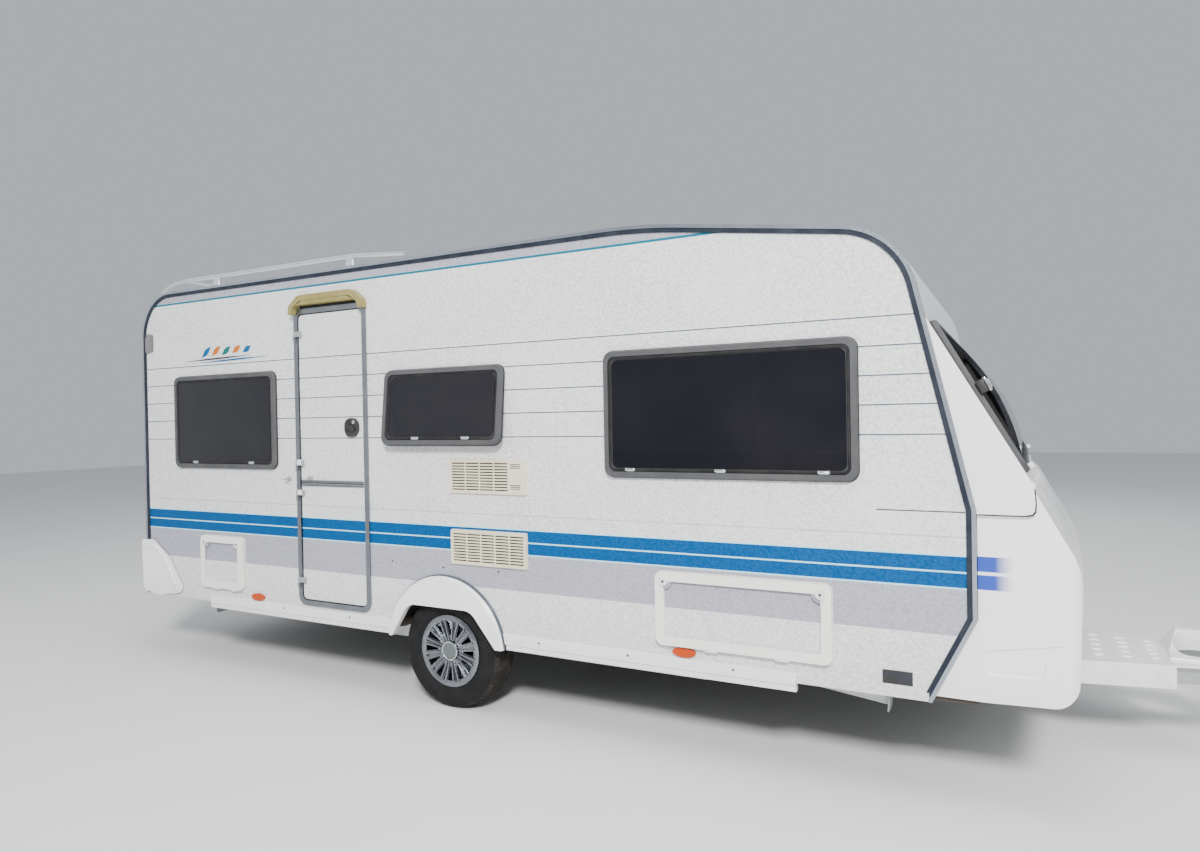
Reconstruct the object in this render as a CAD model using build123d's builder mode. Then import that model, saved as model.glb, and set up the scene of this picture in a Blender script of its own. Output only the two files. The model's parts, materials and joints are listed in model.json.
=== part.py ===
# Travel caravan on a single axle, standing on its jockey wheel.
# Millimetres, +X towards the coupling, +Y to the left side, +Z up, floor at z = 0.
# The door is on the right side, at -Y. The origin is the middle of the footprint.
import os
from math import atan2, cos, degrees, hypot, radians, sin, sqrt

from build123d import *

os.makedirs("parts", exist_ok=True)

# Driving dimensions
rear_reach = 2651.0            # axle to the back of the rear bumper
coupling_reach = 4185.0        # axle to the front of the coupling head
axle_x = (rear_reach - coupling_reach) / 2
half_width = 1150.0            # to the outside of a side wall
wall_t = 32.0                  # sandwich walls and roof
floor_t = 45.0
seat_gap = 0.3                 # between pieces that are bonded or screwed together
run_gap = 6.0                  # round every leaf, flap and lid

floor_z = 415.0                # underside of the floor, top of the chassis rails
roof_z = 2473.0
back_x = axle_x - 2610.0       # outside of the rear wall
back_radius = 300.0            # rear roof corner
slope_start_x = axle_x + 1193.0
brow_x, brow_z = axle_x + 2349.0, 2315.0      # where roof slope and front rake would meet
brow_radius = 342.0
front_x = axle_x + 2607.0      # foot of the rake, front edge of the side walls
rake_z = 1185.0
undercut_z = 755.0
undercut_x = axle_x + 2440.0

tyre_radius = 315.0
tyre_width = 195.0
rim_radius = 178.0
wheel_y = half_width - 120.0   # middle of the tyre
trim_radius = 196.0
arch_clear = 40.0              # wheel well beyond the tyre
well_depth = 232.0             # wheel well, inwards from the side wall
skin_t = 4.0                   # moulded plastic and sheet covers


def fore(distance):
    """x of a point this far ahead of the axle."""
    return axle_x + distance


# A side is +1 for the right, where the door is, and -1 for the left.
def side_plane(side, out=0.0):
    """Sketch plane in X and Z, parallel to a side wall and this far outside its face."""
    return Plane.XZ.offset(side * (half_width + out))


# Side outline of the body, walked clockwise from the rear bottom corner
rake_slope = (front_x - brow_x) / (brow_z - rake_z)
outline_points = [
    (back_x, floor_z), (back_x, roof_z), (slope_start_x, roof_z), (brow_x, brow_z),
    (front_x, rake_z), (front_x, undercut_z), (undercut_x, floor_z),
]
outline_radii = [0, back_radius, 3000, brow_radius, 0, 0, 0]


def rake_x(z):
    """x of the raked front edge of the side wall at this height."""
    return front_x - rake_slope * (z - rake_z)


with BuildSketch() as outline:
    with BuildLine():
        FilletPolyline(*outline_points, radius=outline_radii, close=True)
    make_face()


def inset_outline(inset):
    """Side outline, moved inwards by this much."""
    with BuildSketch() as smaller:
        add(outline.sketch)
        if inset:
            offset(amount=-inset, mode=Mode.REPLACE)
    return smaller.sketch


# Openings in the side walls: centre x, centre z, width, height
window_radius = 48.0
window_lap = 30.0              # sash beyond the hole in the wall
sash_face = 46.0               # visible width of the grey sash
sash_proud = 24.0
sash_step, sash_rim = 15.0, 28.0
front_bulge = 55.0
pane_t = 18.0
windows_right = {
    "rear": (fore(-1768.5), 1592.0, 973.0, 604.0),
    "kitchen": (fore(17.5), 1644.5, 803.0, 420.0),
    "lounge": (fore(1585.0), 1585.0, 1178.0, 600.0),
}
windows_left = {name: windows_right[name] for name in ("rear", "lounge")}
kitchen_ajar = 6.0             # degrees that the kitchen window stands open

door_x, door_w = fore(-823.5), 581.0          # door frame, outer width
door_foot, door_head = 475.0, 2255.0
door_radius = 60.0
door_split = 1211.0
door_rim = 30.0                # visible width of the door frame
door_proud = 10.0

flap_large = (fore(1655.5), 685.0, 803.0, 340.0)
flap_small = (fore(-1804.0), 683.0, 404.0, 337.0)
flap_radius = 34.0
flap_rim = 8.0

vents = {"upper": (fore(295.5), 1272.5, 491.0, 187.0), "lower": (fore(295.5), 894.5, 487.0, 189.0)}

well_radius = tyre_radius + arch_clear


def wall_blank(side, windows):
    """Side wall with its windows and wheel opening."""
    with BuildPart() as blank:
        with BuildSketch(side_plane(side)):
            add(outline.sketch)
            for x, z, width, height in windows.values():
                with Locations((x, z)):
                    RectangleRounded(width - 2 * window_lap, height - 2 * window_lap, window_radius - 20,
                                     mode=Mode.SUBTRACT)
            with Locations((axle_x, tyre_radius)):
                Circle(well_radius, mode=Mode.SUBTRACT)
        extrude(amount=-side * wall_t)
    return blank.part


with BuildPart() as wall_right:
    add(wall_blank(1, windows_right))
    with BuildSketch(side_plane(1)):
        with Locations((door_x, (door_foot + door_head) / 2)):
            RectangleRounded(door_w - 2 * 8, door_head - door_foot - 2 * 8, door_radius - 8)
        for x, z, width, height in (flap_large, flap_small):
            with Locations((x, z)):
                RectangleRounded(width - 2 * flap_rim, height - 2 * flap_rim, flap_radius - flap_rim)
    extrude(amount=-wall_t, mode=Mode.SUBTRACT)
wall_right.part.label = "wall_right"
export_step(wall_right.part, "parts/wall_right.step")

with BuildPart() as wall_left:
    add(wall_blank(-1, windows_left))
wall_left.part.label = "wall_left"
export_step(wall_left.part, "parts/wall_left.step")

# Roof: one bent sandwich panel from the rear corner to the top of the front window
inner_half = half_width - wall_t - seat_gap
glass_top_z = 1944.0
glass_foot_x, glass_foot_z = fore(2778.0), 1315.0
glass_top_x = rake_x(glass_top_z)
rooflights = {"front": (fore(700.0), 700.0, 500.0), "rear": (fore(-1350.0), 420.0, 420.0)}
rooflight_lap = 30.0

with BuildPart() as roof:
    with BuildSketch(Plane.XZ):
        add(outline.sketch)
        add(inset_outline(wall_t), mode=Mode.SUBTRACT)
        with BuildLine():
            Polyline((back_x - 50, roof_z - back_radius), (slope_start_x, roof_z - back_radius),
                     (slope_start_x, glass_top_z), (front_x, glass_top_z), (front_x, roof_z + 50),
                     (back_x - 50, roof_z + 50), close=True)
        make_face(mode=Mode.INTERSECT)
    extrude(amount=inner_half, both=True)
    with BuildSketch(Plane.XY.offset(roof_z - 2 * wall_t)):
        for x, length, width in rooflights.values():
            with Locations((x, 0)):
                RectangleRounded(length - 2 * rooflight_lap, width - 2 * rooflight_lap, 40)
    extrude(amount=3 * wall_t, mode=Mode.SUBTRACT)
roof.part.label = "roof"
export_step(roof.part, "parts/roof.step")

# Rear wall with its window
window_back = (0.0, 1610.0, 1000.0, 560.0)
back_plane = Plane(origin=(back_x, 0, 0), x_dir=(0, -1, 0), z_dir=(-1, 0, 0))
with BuildPart() as wall_rear:
    with BuildSketch(back_plane):
        with Locations((0, (floor_z + roof_z - back_radius) / 2)):
            Rectangle(2 * inner_half, roof_z - back_radius - floor_z - 2 * seat_gap)
        with Locations(window_back[:2]):
            RectangleRounded(window_back[2] - 2 * window_lap, window_back[3] - 2 * window_lap,
                             window_radius - 20, mode=Mode.SUBTRACT)
    extrude(amount=-wall_t)
wall_rear.part.label = "wall_rear"
export_step(wall_rear.part, "parts/wall_rear.step")

# Front wall: sloped window wall, shelf and the bulkhead behind the gas locker
glass_run = hypot(glass_foot_x - glass_top_x, glass_top_z - glass_foot_z)
glass_lean = atan2(glass_foot_x - glass_top_x, glass_top_z - glass_foot_z)
glass_plane = Plane(
    origin=((glass_top_x + glass_foot_x) / 2, 0, (glass_top_z + glass_foot_z) / 2),
    x_dir=(0, 1, 0), z_dir=(cos(glass_lean), 0, sin(glass_lean)),
)
window_front = (0.0, 0.0, 2 * half_width - 190.0, glass_run - 12.0)
cheek_t = 44.0
cheek_front_x = fore(2809.0)
seam_z = 1170.0
shelf_z = 1287.0
bulkhead_x = front_x
front_half = half_width - cheek_t - 1.0

with BuildPart() as wall_front:
    with BuildSketch(Plane.XZ):
        with BuildLine():
            Polyline(
                (glass_top_x - wall_t * cos(glass_lean), glass_top_z - seat_gap - wall_t * sin(glass_lean)),
                (glass_top_x, glass_top_z - seat_gap), (glass_foot_x, glass_foot_z),
                (cheek_front_x, shelf_z), (cheek_front_x, shelf_z - wall_t),
                (bulkhead_x, shelf_z - wall_t), (bulkhead_x, seam_z),
                (bulkhead_x - wall_t, seam_z), (bulkhead_x - wall_t, shelf_z),
                (glass_foot_x - 2 * wall_t, shelf_z), close=True)
        make_face()
    extrude(amount=front_half - seat_gap, both=True)
    with BuildSketch(Plane.XZ):
        with Locations((bulkhead_x - wall_t / 2, (floor_z + floor_t + seat_gap + seam_z) / 2)):
            Rectangle(wall_t, seam_z - floor_z - floor_t - seat_gap)
    extrude(amount=inner_half, both=True)
    with BuildSketch(glass_plane):
        RectangleRounded(window_front[2] - 2 * window_lap, window_front[3] - 2 * window_lap - 20,
                         window_radius - 20)
    extrude(amount=60, both=True, mode=Mode.SUBTRACT)
wall_front.part.label = "wall_front"
export_step(wall_front.part, "parts/wall_front.step")

# Cheeks: moulded sides that carry the body's flank forward to the window
with BuildPart() as front_cheeks:
    for side in (1, -1):
        with BuildSketch(side_plane(side, -2)):
            with BuildLine():
                FilletPolyline(
                    (rake_x(glass_top_z) + 1, glass_top_z), (rake_x(rake_z) + 1, rake_z),
                    (front_x + 1, seam_z), (cheek_front_x, seam_z), (cheek_front_x, shelf_z - 10),
                    (glass_foot_x + 8, glass_foot_z + 2),
                    radius=[0, 0, 0, 40, 20, 60], close=True)
            make_face()
        extrude(amount=-side * (cheek_t - 2))
front_cheeks.part.label = "front_cheeks"
export_step(front_cheeks.part, "parts/front_cheeks.step")

# Gas locker: a bowed moulding, turned about a far axis and trimmed by its plan outline
nose_x = fore(3004.0)
nose_foot_z = 438.0
nose_bend_z = 970.0
nose_brow_x, nose_brow_z = fore(2845.0), 1270.0
nose_half = half_width - 15.0
nose_t = 10.0
bow_radius = 15000.0
bow_x = nose_x - bow_radius
nose_corner = 95.0
nose_rise_x, nose_front_z = fore(2680.0), 452.0


def nose_form(inset):
    """Outer form of the gas locker, or its hollow when inset is the wall thickness."""
    back = front_x + 2 - (40 if inset else 0)
    half_angle = degrees(nose_half / bow_radius) * 1.3
    start = Plane(origin=(bow_x, 0, 0), x_dir=(cos(radians(half_angle)), -sin(radians(half_angle)), 0),
                  z_dir=(-sin(radians(half_angle)), -cos(radians(half_angle)), 0))
    with BuildPart() as form:
        with BuildSketch(start):
            with BuildLine():
                FilletPolyline(
                    (back - bow_x - 60, nose_foot_z), (nose_rise_x - bow_x, nose_foot_z),
                    (nose_x - bow_x - 18, nose_front_z), (nose_x - bow_x, nose_bend_z),
                    (nose_brow_x - bow_x, nose_brow_z), (cheek_front_x - bow_x, shelf_z),
                    (back - bow_x - 60, shelf_z),
                    radius=[0, 300, 90, 330, 60, 0, 0], close=True)
            make_face()
            if inset:
                offset(amount=-inset, mode=Mode.REPLACE)
        revolve(axis=Axis((bow_x, 0, 0), (0, 0, 1)), revolution_arc=2 * half_angle)
        with BuildSketch(Plane.XY.offset(nose_foot_z - 50)):
            with BuildLine():
                edge_x = nose_x - nose_half ** 2 / (2 * bow_radius) + 3
                FilletPolyline(
                    (back, -nose_half + inset), (edge_x - inset, -nose_half + inset),
                    (edge_x - inset + 60, 0), (edge_x - inset, nose_half - inset), (back, nose_half - inset),
                    radius=[0, nose_corner - inset, 0, nose_corner - inset, 0], close=True)
            make_face()
        extrude(amount=shelf_z - nose_foot_z + 100, mode=Mode.INTERSECT)
        # Room for the cheeks and the shelf
        with BuildSketch(Plane.XZ):
            with Locations((cheek_front_x + seat_gap + inset - 300, seam_z - seat_gap - inset + 200)):
                Rectangle(600, 400)
        extrude(amount=half_width, both=True, mode=Mode.SUBTRACT)
    return form.part


lid_half = half_width - 210.0
lid_foot_z, lid_top_z = 700.0, 1248.0


def lid_cutter(grow):
    """Block round the lid's part of the moulding, this much larger at its edges."""
    with BuildPart() as block:
        with BuildSketch(Plane.YZ.offset(front_x + 120)):
            with Locations((0, (lid_foot_z + lid_top_z) / 2)):
                RectangleRounded(2 * (lid_half + grow), lid_top_z - lid_foot_z + 2 * grow, 60 + grow)
        extrude(amount=400)
    return block.part


nose_outer = nose_form(0)
nose_hollow = nose_form(nose_t)
undercut_slope = (front_x - undercut_x) / (undercut_z - floor_z)

# Shallow recess low on each flank; its front end runs up to a point beside the skirt's shoulder
recess_points = [(2600.0, 545.0), (2828.0, 550.0), (2840.0, 606.0), (2866.0, 640.0), (2925.0, 696.0),
                 (2829.0, 674.0), (2600.0, 634.0)]
recess_depth = 7.0

with BuildPart() as nose_box:
    add(nose_outer)
    for side in (1, -1):
        with BuildSketch(side_plane(side, nose_half - half_width)):
            with BuildLine():
                FilletPolyline(*[(fore(x), z) for x, z in recess_points],
                               radius=[30, 30, 40, 60, 3, 60, 30], close=True)
            make_face()
        extrude(amount=-side * recess_depth, taper=45, mode=Mode.SUBTRACT)
    add(nose_hollow, mode=Mode.SUBTRACT)
    add(lid_cutter(run_gap), mode=Mode.SUBTRACT)
    for side in (1, -1):
        with BuildSketch(side_plane(side, nose_half - half_width)):
            with BuildLine():
                foot_x = front_x + 2 - undercut_slope * (undercut_z - nose_foot_z)
                Polyline((front_x + 2, undercut_z), (foot_x, nose_foot_z), (front_x + 30, nose_foot_z),
                         (front_x + 30, undercut_z), close=True)
            make_face()
        extrude(amount=-side * nose_t)
nose_box.part.label = "nose_box"
export_step(nose_box.part, "parts/nose_box.step")

with BuildPart() as locker_lid:
    add(nose_outer)
    add(nose_hollow, mode=Mode.SUBTRACT)
    add(lid_cutter(0), mode=Mode.INTERSECT)
locker_lid.part.label = "locker_lid"
export_step(locker_lid.part, "parts/locker_lid.step")

# Floor with its wheel wells
well_floor_half = sqrt(well_radius ** 2 - (floor_z + floor_t - tyre_radius) ** 2) - 2
with BuildPart() as floor:
    with BuildSketch(Plane.XY.offset(floor_z)):
        floor_back = back_x + wall_t + seat_gap
        with BuildLine():
            Polyline((floor_back, -inner_half), (front_x, -inner_half), (front_x, inner_half),
                     (floor_back, inner_half), close=True)
        make_face()
        for side in (1, -1):
            with Locations((axle_x, -side * (half_width - wall_t - well_depth / 2))):
                Rectangle(2 * well_floor_half, well_depth + 40, mode=Mode.SUBTRACT)
    extrude(amount=floor_t)
floor.part.label = "floor"
export_step(floor.part, "parts/floor.step")

# Wheel boxes that close the wells inside the cabin
with BuildPart() as wheel_boxes:
    for side in (1, -1):
        well_back = well_depth + 20 - seat_gap + skin_t
        with BuildSketch(side_plane(side, -wall_t - seat_gap)):
            with Locations((axle_x, tyre_radius)):
                Circle(well_radius + skin_t)
            with Locations((axle_x, floor_z + 2 * well_radius / 2 + floor_t + seat_gap)):
                Rectangle(2 * well_radius + 2 * skin_t, 2 * well_radius, mode=Mode.INTERSECT)
        extrude(amount=-side * well_back)
        with BuildSketch(side_plane(side, -wall_t - seat_gap)):
            with Locations((axle_x, tyre_radius)):
                Circle(well_radius)
        extrude(amount=-side * (well_back - skin_t), mode=Mode.SUBTRACT)
wheel_boxes.part.label = "wheel_boxes"
export_step(wheel_boxes.part, "parts/wheel_boxes.step")

# Window sashes and their panes
def sash_and_pane(plane, width, height):
    """Grey sash ring and its pane, standing on this plane."""
    with BuildPart() as ring:
        with BuildSketch(plane.offset(seat_gap)):
            RectangleRounded(width, height, window_radius)
        extrude(amount=sash_step)
        with BuildSketch(plane.offset(seat_gap + sash_step)):
            RectangleRounded(width, height, window_radius)
        extrude(amount=sash_proud - sash_step, taper=30)
        with BuildSketch(plane.offset(sash_step)):
            RectangleRounded(width - 2 * sash_rim, height - 2 * sash_rim, window_radius - 14)
        extrude(amount=sash_proud, mode=Mode.SUBTRACT)
        with BuildSketch(plane):
            RectangleRounded(width - 2 * sash_face, height - 2 * sash_face, window_radius - 22)
        extrude(amount=sash_proud, mode=Mode.SUBTRACT)
    with BuildPart() as sheet:
        with BuildSketch(plane.offset(seat_gap)):
            RectangleRounded(width - 2 * sash_face - 2 * seat_gap, height - 2 * sash_face - 2 * seat_gap,
                             window_radius - 22)
        extrude(amount=pane_t)
    return ring.part, sheet.part


def domed_pane(plane, width, height, rise):
    """Pane that bulges outwards by this rise halfway up."""
    edge = height / 2 - sash_face - seat_gap
    reach = edge + 20
    bend = (edge ** 2 + rise ** 2) / (2 * rise)
    drop = sqrt(bend ** 2 - edge ** 2) - sqrt(bend ** 2 - reach ** 2)
    with BuildPart() as sheet:
        with BuildSketch(Plane(origin=plane.origin, x_dir=plane.y_dir, z_dir=plane.x_dir)):
            with BuildLine():
                ThreePointArc((-reach, seat_gap - drop), (0, seat_gap + rise), (reach, seat_gap - drop))
                Line((reach, seat_gap - drop), (reach, pane_t - drop))
                ThreePointArc((reach, pane_t - drop), (0, pane_t + rise), (-reach, pane_t - drop))
                Line((-reach, pane_t - drop), (-reach, seat_gap - drop))
            make_face()
        extrude(amount=width / 2, both=True)
        with BuildSketch(plane.offset(-3)):
            RectangleRounded(width - 2 * sash_face - 2 * seat_gap, 2 * edge, window_radius - 22)
        extrude(amount=pane_t + rise + 6, mode=Mode.INTERSECT)
    return sheet.part


sash_list = []
for side, windows in ((1, windows_right), (-1, windows_left)):
    for name, (x, z, width, height) in windows.items():
        hinge_z = z + height / 2
        plane = Plane(origin=(x, -side * half_width, z), x_dir=(side, 0, 0), z_dir=(0, -side, 0))
        if name == "kitchen":
            lean = radians(kitchen_ajar)
            plane = Plane(origin=(x, -half_width - height / 2 * sin(lean), hinge_z - height / 2 * cos(lean)),
                          x_dir=(1, 0, 0), z_dir=(0, -cos(lean), sin(lean)))
        sash_list.append(sash_and_pane(plane, width, height))
sash_list.append(sash_and_pane(back_plane.shift_origin((back_x, 0, window_back[1])), *window_back[2:]))
front_ring = sash_and_pane(glass_plane, *window_front[2:])[0]
sash_list.append((front_ring, domed_pane(glass_plane, *window_front[2:], front_bulge)))

with BuildPart() as window_sashes:
    for ring, sheet in sash_list:
        add(ring)
window_sashes.part.label = "window_sashes"
export_step(window_sashes.part, "parts/window_sashes.step")

with BuildPart() as window_panes:
    for ring, sheet in sash_list:
        add(sheet)
window_panes.part.label = "window_panes"
export_step(window_panes.part, "parts/window_panes.step")

# Stable door: frame, two leaves on one hinge line, rain hood
door_mid_z = (door_foot + door_head) / 2
door_h = door_head - door_foot
hinge_x = door_x - door_w / 2 + 14
hinge_y = -half_width - door_proud - 9
knuckle_radius = 7.0
hinge_z_list = {"upper": (2089.0, 1316.0), "lower": (1137.0, 611.0)}
knuckle_h = 62.0

with BuildPart() as door_frame:
    with BuildSketch(side_plane(1, door_proud)):
        with Locations((door_x, door_mid_z)):
            RectangleRounded(door_w, door_h, door_radius)
            RectangleRounded(door_w - 2 * door_rim, door_h - 2 * door_rim, door_radius - door_rim + 4,
                             mode=Mode.SUBTRACT)
    extrude(amount=-(door_proud - seat_gap))
    with BuildSketch(side_plane(1, door_proud)):
        with Locations((door_x, door_mid_z)):
            RectangleRounded(door_w - 17, door_h - 17, door_radius - 8.5)
            RectangleRounded(door_w - 2 * door_rim, door_h - 2 * door_rim, door_radius - door_rim + 4,
                             mode=Mode.SUBTRACT)
    extrude(amount=-(door_proud + wall_t))
    for z in hinge_z_list["upper"] + hinge_z_list["lower"]:
        with BuildSketch(Plane.XY.offset(z - knuckle_h / 2)):
            with Locations((hinge_x, hinge_y)):
                Circle(knuckle_radius)
            with Locations((hinge_x, (hinge_y - half_width - door_proud) / 2)):
                Rectangle(2 * knuckle_radius, -hinge_y - half_width - door_proud)
        extrude(amount=knuckle_h / 2 - seat_gap / 2)
door_frame.part.label = "door_frame"
export_step(door_frame.part, "parts/door_frame.step")

leaf_w = door_w - 2 * door_rim - 2 * run_gap
leaf_t = 34.0
leaf_z = {"upper": (door_split + run_gap / 2, door_head - door_rim - run_gap),
          "lower": (door_foot + door_rim + run_gap, door_split - run_gap / 2)}


def door_leaf(which):
    """One leaf of the stable door with its hinge knuckles."""
    low, high = leaf_z[which]
    leaf_edge = door_x - leaf_w / 2
    with BuildPart() as leaf:
        with BuildSketch(side_plane(1, 2)):
            with Locations((door_x, door_mid_z)):
                RectangleRounded(leaf_w, door_h - 2 * door_rim - 2 * run_gap, door_radius - door_rim - 2)
            with Locations((door_x, (low + high) / 2)):
                Rectangle(leaf_w, high - low, mode=Mode.INTERSECT)
        extrude(amount=-leaf_t)
        for z in hinge_z_list[which]:
            with BuildSketch(Plane.XY.offset(z + seat_gap / 2)):
                with Locations((hinge_x, hinge_y)):
                    Circle(knuckle_radius)
                with BuildLine():
                    Polyline((hinge_x, hinge_y - 3), (leaf_edge + 30, hinge_y - 3),
                             (leaf_edge + 30, -half_width - 1), (leaf_edge + 3, -half_width - 1),
                             (leaf_edge + 3, hinge_y + 3), (hinge_x, hinge_y + 3), close=True)
                make_face()
            extrude(amount=knuckle_h / 2 - seat_gap / 2)
    return leaf.part


with BuildPart() as door_upper:
    add(door_leaf("upper"))
door_upper.part.label = "door_upper"
export_step(door_upper.part, "parts/door_upper.step")

with BuildPart() as door_lower:
    add(door_leaf("lower"))
door_lower.part.label = "door_lower"
export_step(door_lower.part, "parts/door_lower.step")

# Lock set of the upper leaf
lock_x, lock_z = fore(-651.0), 1540.0
with BuildPart() as door_lock:
    with BuildSketch(side_plane(1, 2 + seat_gap)):
        with Locations((lock_x, lock_z)):
            RectangleRounded(104, 108, 46)
    extrude(amount=16)
    with BuildSketch(side_plane(1, 18)):
        with Locations((lock_x, lock_z)):
            SlotOverall(74, 26, rotation=-25)
    extrude(amount=14)
door_lock.part.label = "door_lock"
export_step(door_lock.part, "parts/door_lock.step")

hood_low, hood_high = 2222.0, 2332.0
with BuildPart() as door_hood:
    with BuildSketch(Plane.XZ.offset(half_width + seat_gap)):
        with BuildLine():
            FilletPolyline(
                (door_x - 296, hood_low), (door_x - 296, hood_high - 62), (door_x - 215, hood_high),
                (door_x + 215, hood_high), (door_x + 296, hood_high - 62), (door_x + 296, hood_low),
                (door_x + 268, hood_low), (door_x + 262, hood_high - 74), (door_x + 200, hood_high - 34),
                (door_x - 200, hood_high - 34), (door_x - 262, hood_high - 74), (door_x - 268, hood_low),
                radius=[4, 60, 60, 60, 60, 4, 4, 40, 40, 40, 40, 4], close=True)
        make_face()
    extrude(amount=46)
    with BuildSketch(side_plane(1)):
        with Locations((door_x, door_mid_z)):
            RectangleRounded(door_w + 2 * seat_gap, door_h + 2 * seat_gap, door_radius)
    extrude(amount=door_proud + seat_gap, mode=Mode.SUBTRACT)
door_hood.part.label = "door_hood"
export_step(door_hood.part, "parts/door_hood.step")


# Service flaps: thin fixed frame and a flap hinged along its lower edge
flap_pin_y, flap_pin_drop, flap_pin_r = -half_width - 22.0, 5.5, 4.5
flap_hinge_w = 28.0


def flap_hinge_bar(x, z, height, y_from, y_to):
    """Stretch of hinge under a flap, from this y to that y, round the pin line."""
    pin_z = z - height / 2 - flap_pin_drop
    with BuildPart() as bar:
        with BuildSketch(Plane.YZ.offset(x)):
            with Locations((flap_pin_y, pin_z)):
                Circle(flap_pin_r)
            with Locations(((y_from + y_to) / 2, pin_z)):
                Rectangle(abs(y_to - y_from), 2 * flap_pin_r)
        extrude(amount=flap_hinge_w)
    return bar.part


def flap_frame(x, z, width, height):
    """Fixed frame round a flap."""
    with BuildPart() as frame:
        with BuildSketch(side_plane(1, seat_gap)):
            with Locations((x, z)):
                RectangleRounded(width + 4, height + 4, flap_radius + 2)
                RectangleRounded(width - 4 * flap_rim, height - 4 * flap_rim, flap_radius - 2 * flap_rim,
                                 mode=Mode.SUBTRACT)
        extrude(amount=5)
        with BuildSketch(side_plane(1, seat_gap)):
            with Locations((x, z)):
                RectangleRounded(width - 2 * flap_rim - 1, height - 2 * flap_rim - 1, flap_radius - flap_rim)
                RectangleRounded(width - 4 * flap_rim, height - 4 * flap_rim, flap_radius - 2 * flap_rim,
                                 mode=Mode.SUBTRACT)
        extrude(amount=-wall_t)
        for end in (-0.2, 0.2):
            add(flap_hinge_bar(x + end * width, z, height, -half_width - seat_gap, flap_pin_y))
            with BuildSketch(side_plane(1, seat_gap)):
                with Locations((x + end * width + flap_hinge_w / 2, z - height / 2)):
                    Rectangle(flap_hinge_w, 2 * flap_pin_drop)
            extrude(amount=5)
    return frame.part


with BuildPart() as flap_frames:
    add(flap_frame(*flap_large))
    add(flap_frame(*flap_small))
flap_frames.part.label = "flap_frames"
export_step(flap_frames.part, "parts/flap_frames.step")

flap_face = 44.0
flap_lift = 5.0 + run_gap
flap_proud = 16.0
lock_radius = 27.0


def flap_panel(x, z, width, height):
    """Flap with its raised rim and two round locks."""
    with BuildPart() as panel:
        with BuildSketch(side_plane(1, flap_lift)):
            with Locations((x, z)):
                RectangleRounded(width, height, flap_radius)
                RectangleRounded(width - 2 * flap_face, height - 2 * flap_face, 18, mode=Mode.SUBTRACT)
            for end in (-1, 1):
                with Locations((x + end * (width / 2 - flap_face), z + height / 2 - flap_face)):
                    Circle(lock_radius + 10)
        extrude(amount=flap_proud)
        for end in (-0.2, 0.2):
            pin_x = x + end * width + flap_hinge_w + seat_gap
            with BuildSketch(Plane.YZ.offset(pin_x)):
                with Locations((flap_pin_y, z - height / 2 - flap_pin_drop)):
                    Circle(flap_pin_r)
                with Locations((flap_pin_y, z - height / 2)):
                    Rectangle(2 * flap_pin_r - 1, 2 * flap_pin_drop)
            extrude(amount=flap_hinge_w)
        with BuildSketch(side_plane(1, flap_lift)):
            with Locations((x, z)):
                RectangleRounded(width - 4 * flap_rim - 2 * run_gap, height - 4 * flap_rim - 2 * run_gap, 12)
        extrude(amount=-(wall_t + flap_lift - 4))
        with BuildSketch(side_plane(1, flap_lift + flap_proud)):
            for end in (-1, 1):
                with Locations((x + end * (width / 2 - flap_face), z + height / 2 - flap_face)):
                    Circle(lock_radius)
        extrude(amount=4)
    return panel.part


with BuildPart() as flap_service:
    add(flap_panel(*flap_large))
flap_service.part.label = "flap_service"
export_step(flap_service.part, "parts/flap_service.step")

with BuildPart() as flap_toilet:
    add(flap_panel(*flap_small))
flap_toilet.part.label = "flap_toilet"
export_step(flap_toilet.part, "parts/flap_toilet.step")

# Refrigerator vents: frame with a field of louvre slots, the upper one with a plain panel at its front end
vent_proud, vent_rim = 13.0, 17.0
slot_rows, slot_columns = 10, 5
bar_w = 7.0
with BuildPart() as vent_grilles:
    for name, (x, z, width, height) in vents.items():
        columns = slot_columns - (name == "upper")
        pitch_x = (width - 2 * vent_rim) / slot_columns
        pitch_z = (height - 2 * vent_rim) / slot_rows
        with BuildSketch(side_plane(1, seat_gap)):
            with Locations((x, z)):
                RectangleRounded(width, height, 9)
        extrude(amount=vent_proud, taper=18)
        field_x = x - (slot_columns - columns) * pitch_x / 2
        with BuildSketch(side_plane(1, vent_proud + seat_gap)):
            with Locations((field_x, z)):
                Rectangle(columns * pitch_x, height - 2 * vent_rim)
        extrude(amount=-3, mode=Mode.SUBTRACT)
        with BuildSketch(side_plane(1, vent_proud + seat_gap)):
            with Locations((field_x, z)):
                with GridLocations(pitch_x, pitch_z, columns, slot_rows):
                    Rectangle(pitch_x - bar_w, pitch_z * 0.45)
        extrude(amount=-10, mode=Mode.SUBTRACT)
vent_grilles.part.label = "vent_grilles"
export_step(vent_grilles.part, "parts/vent_grilles.step")

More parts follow.
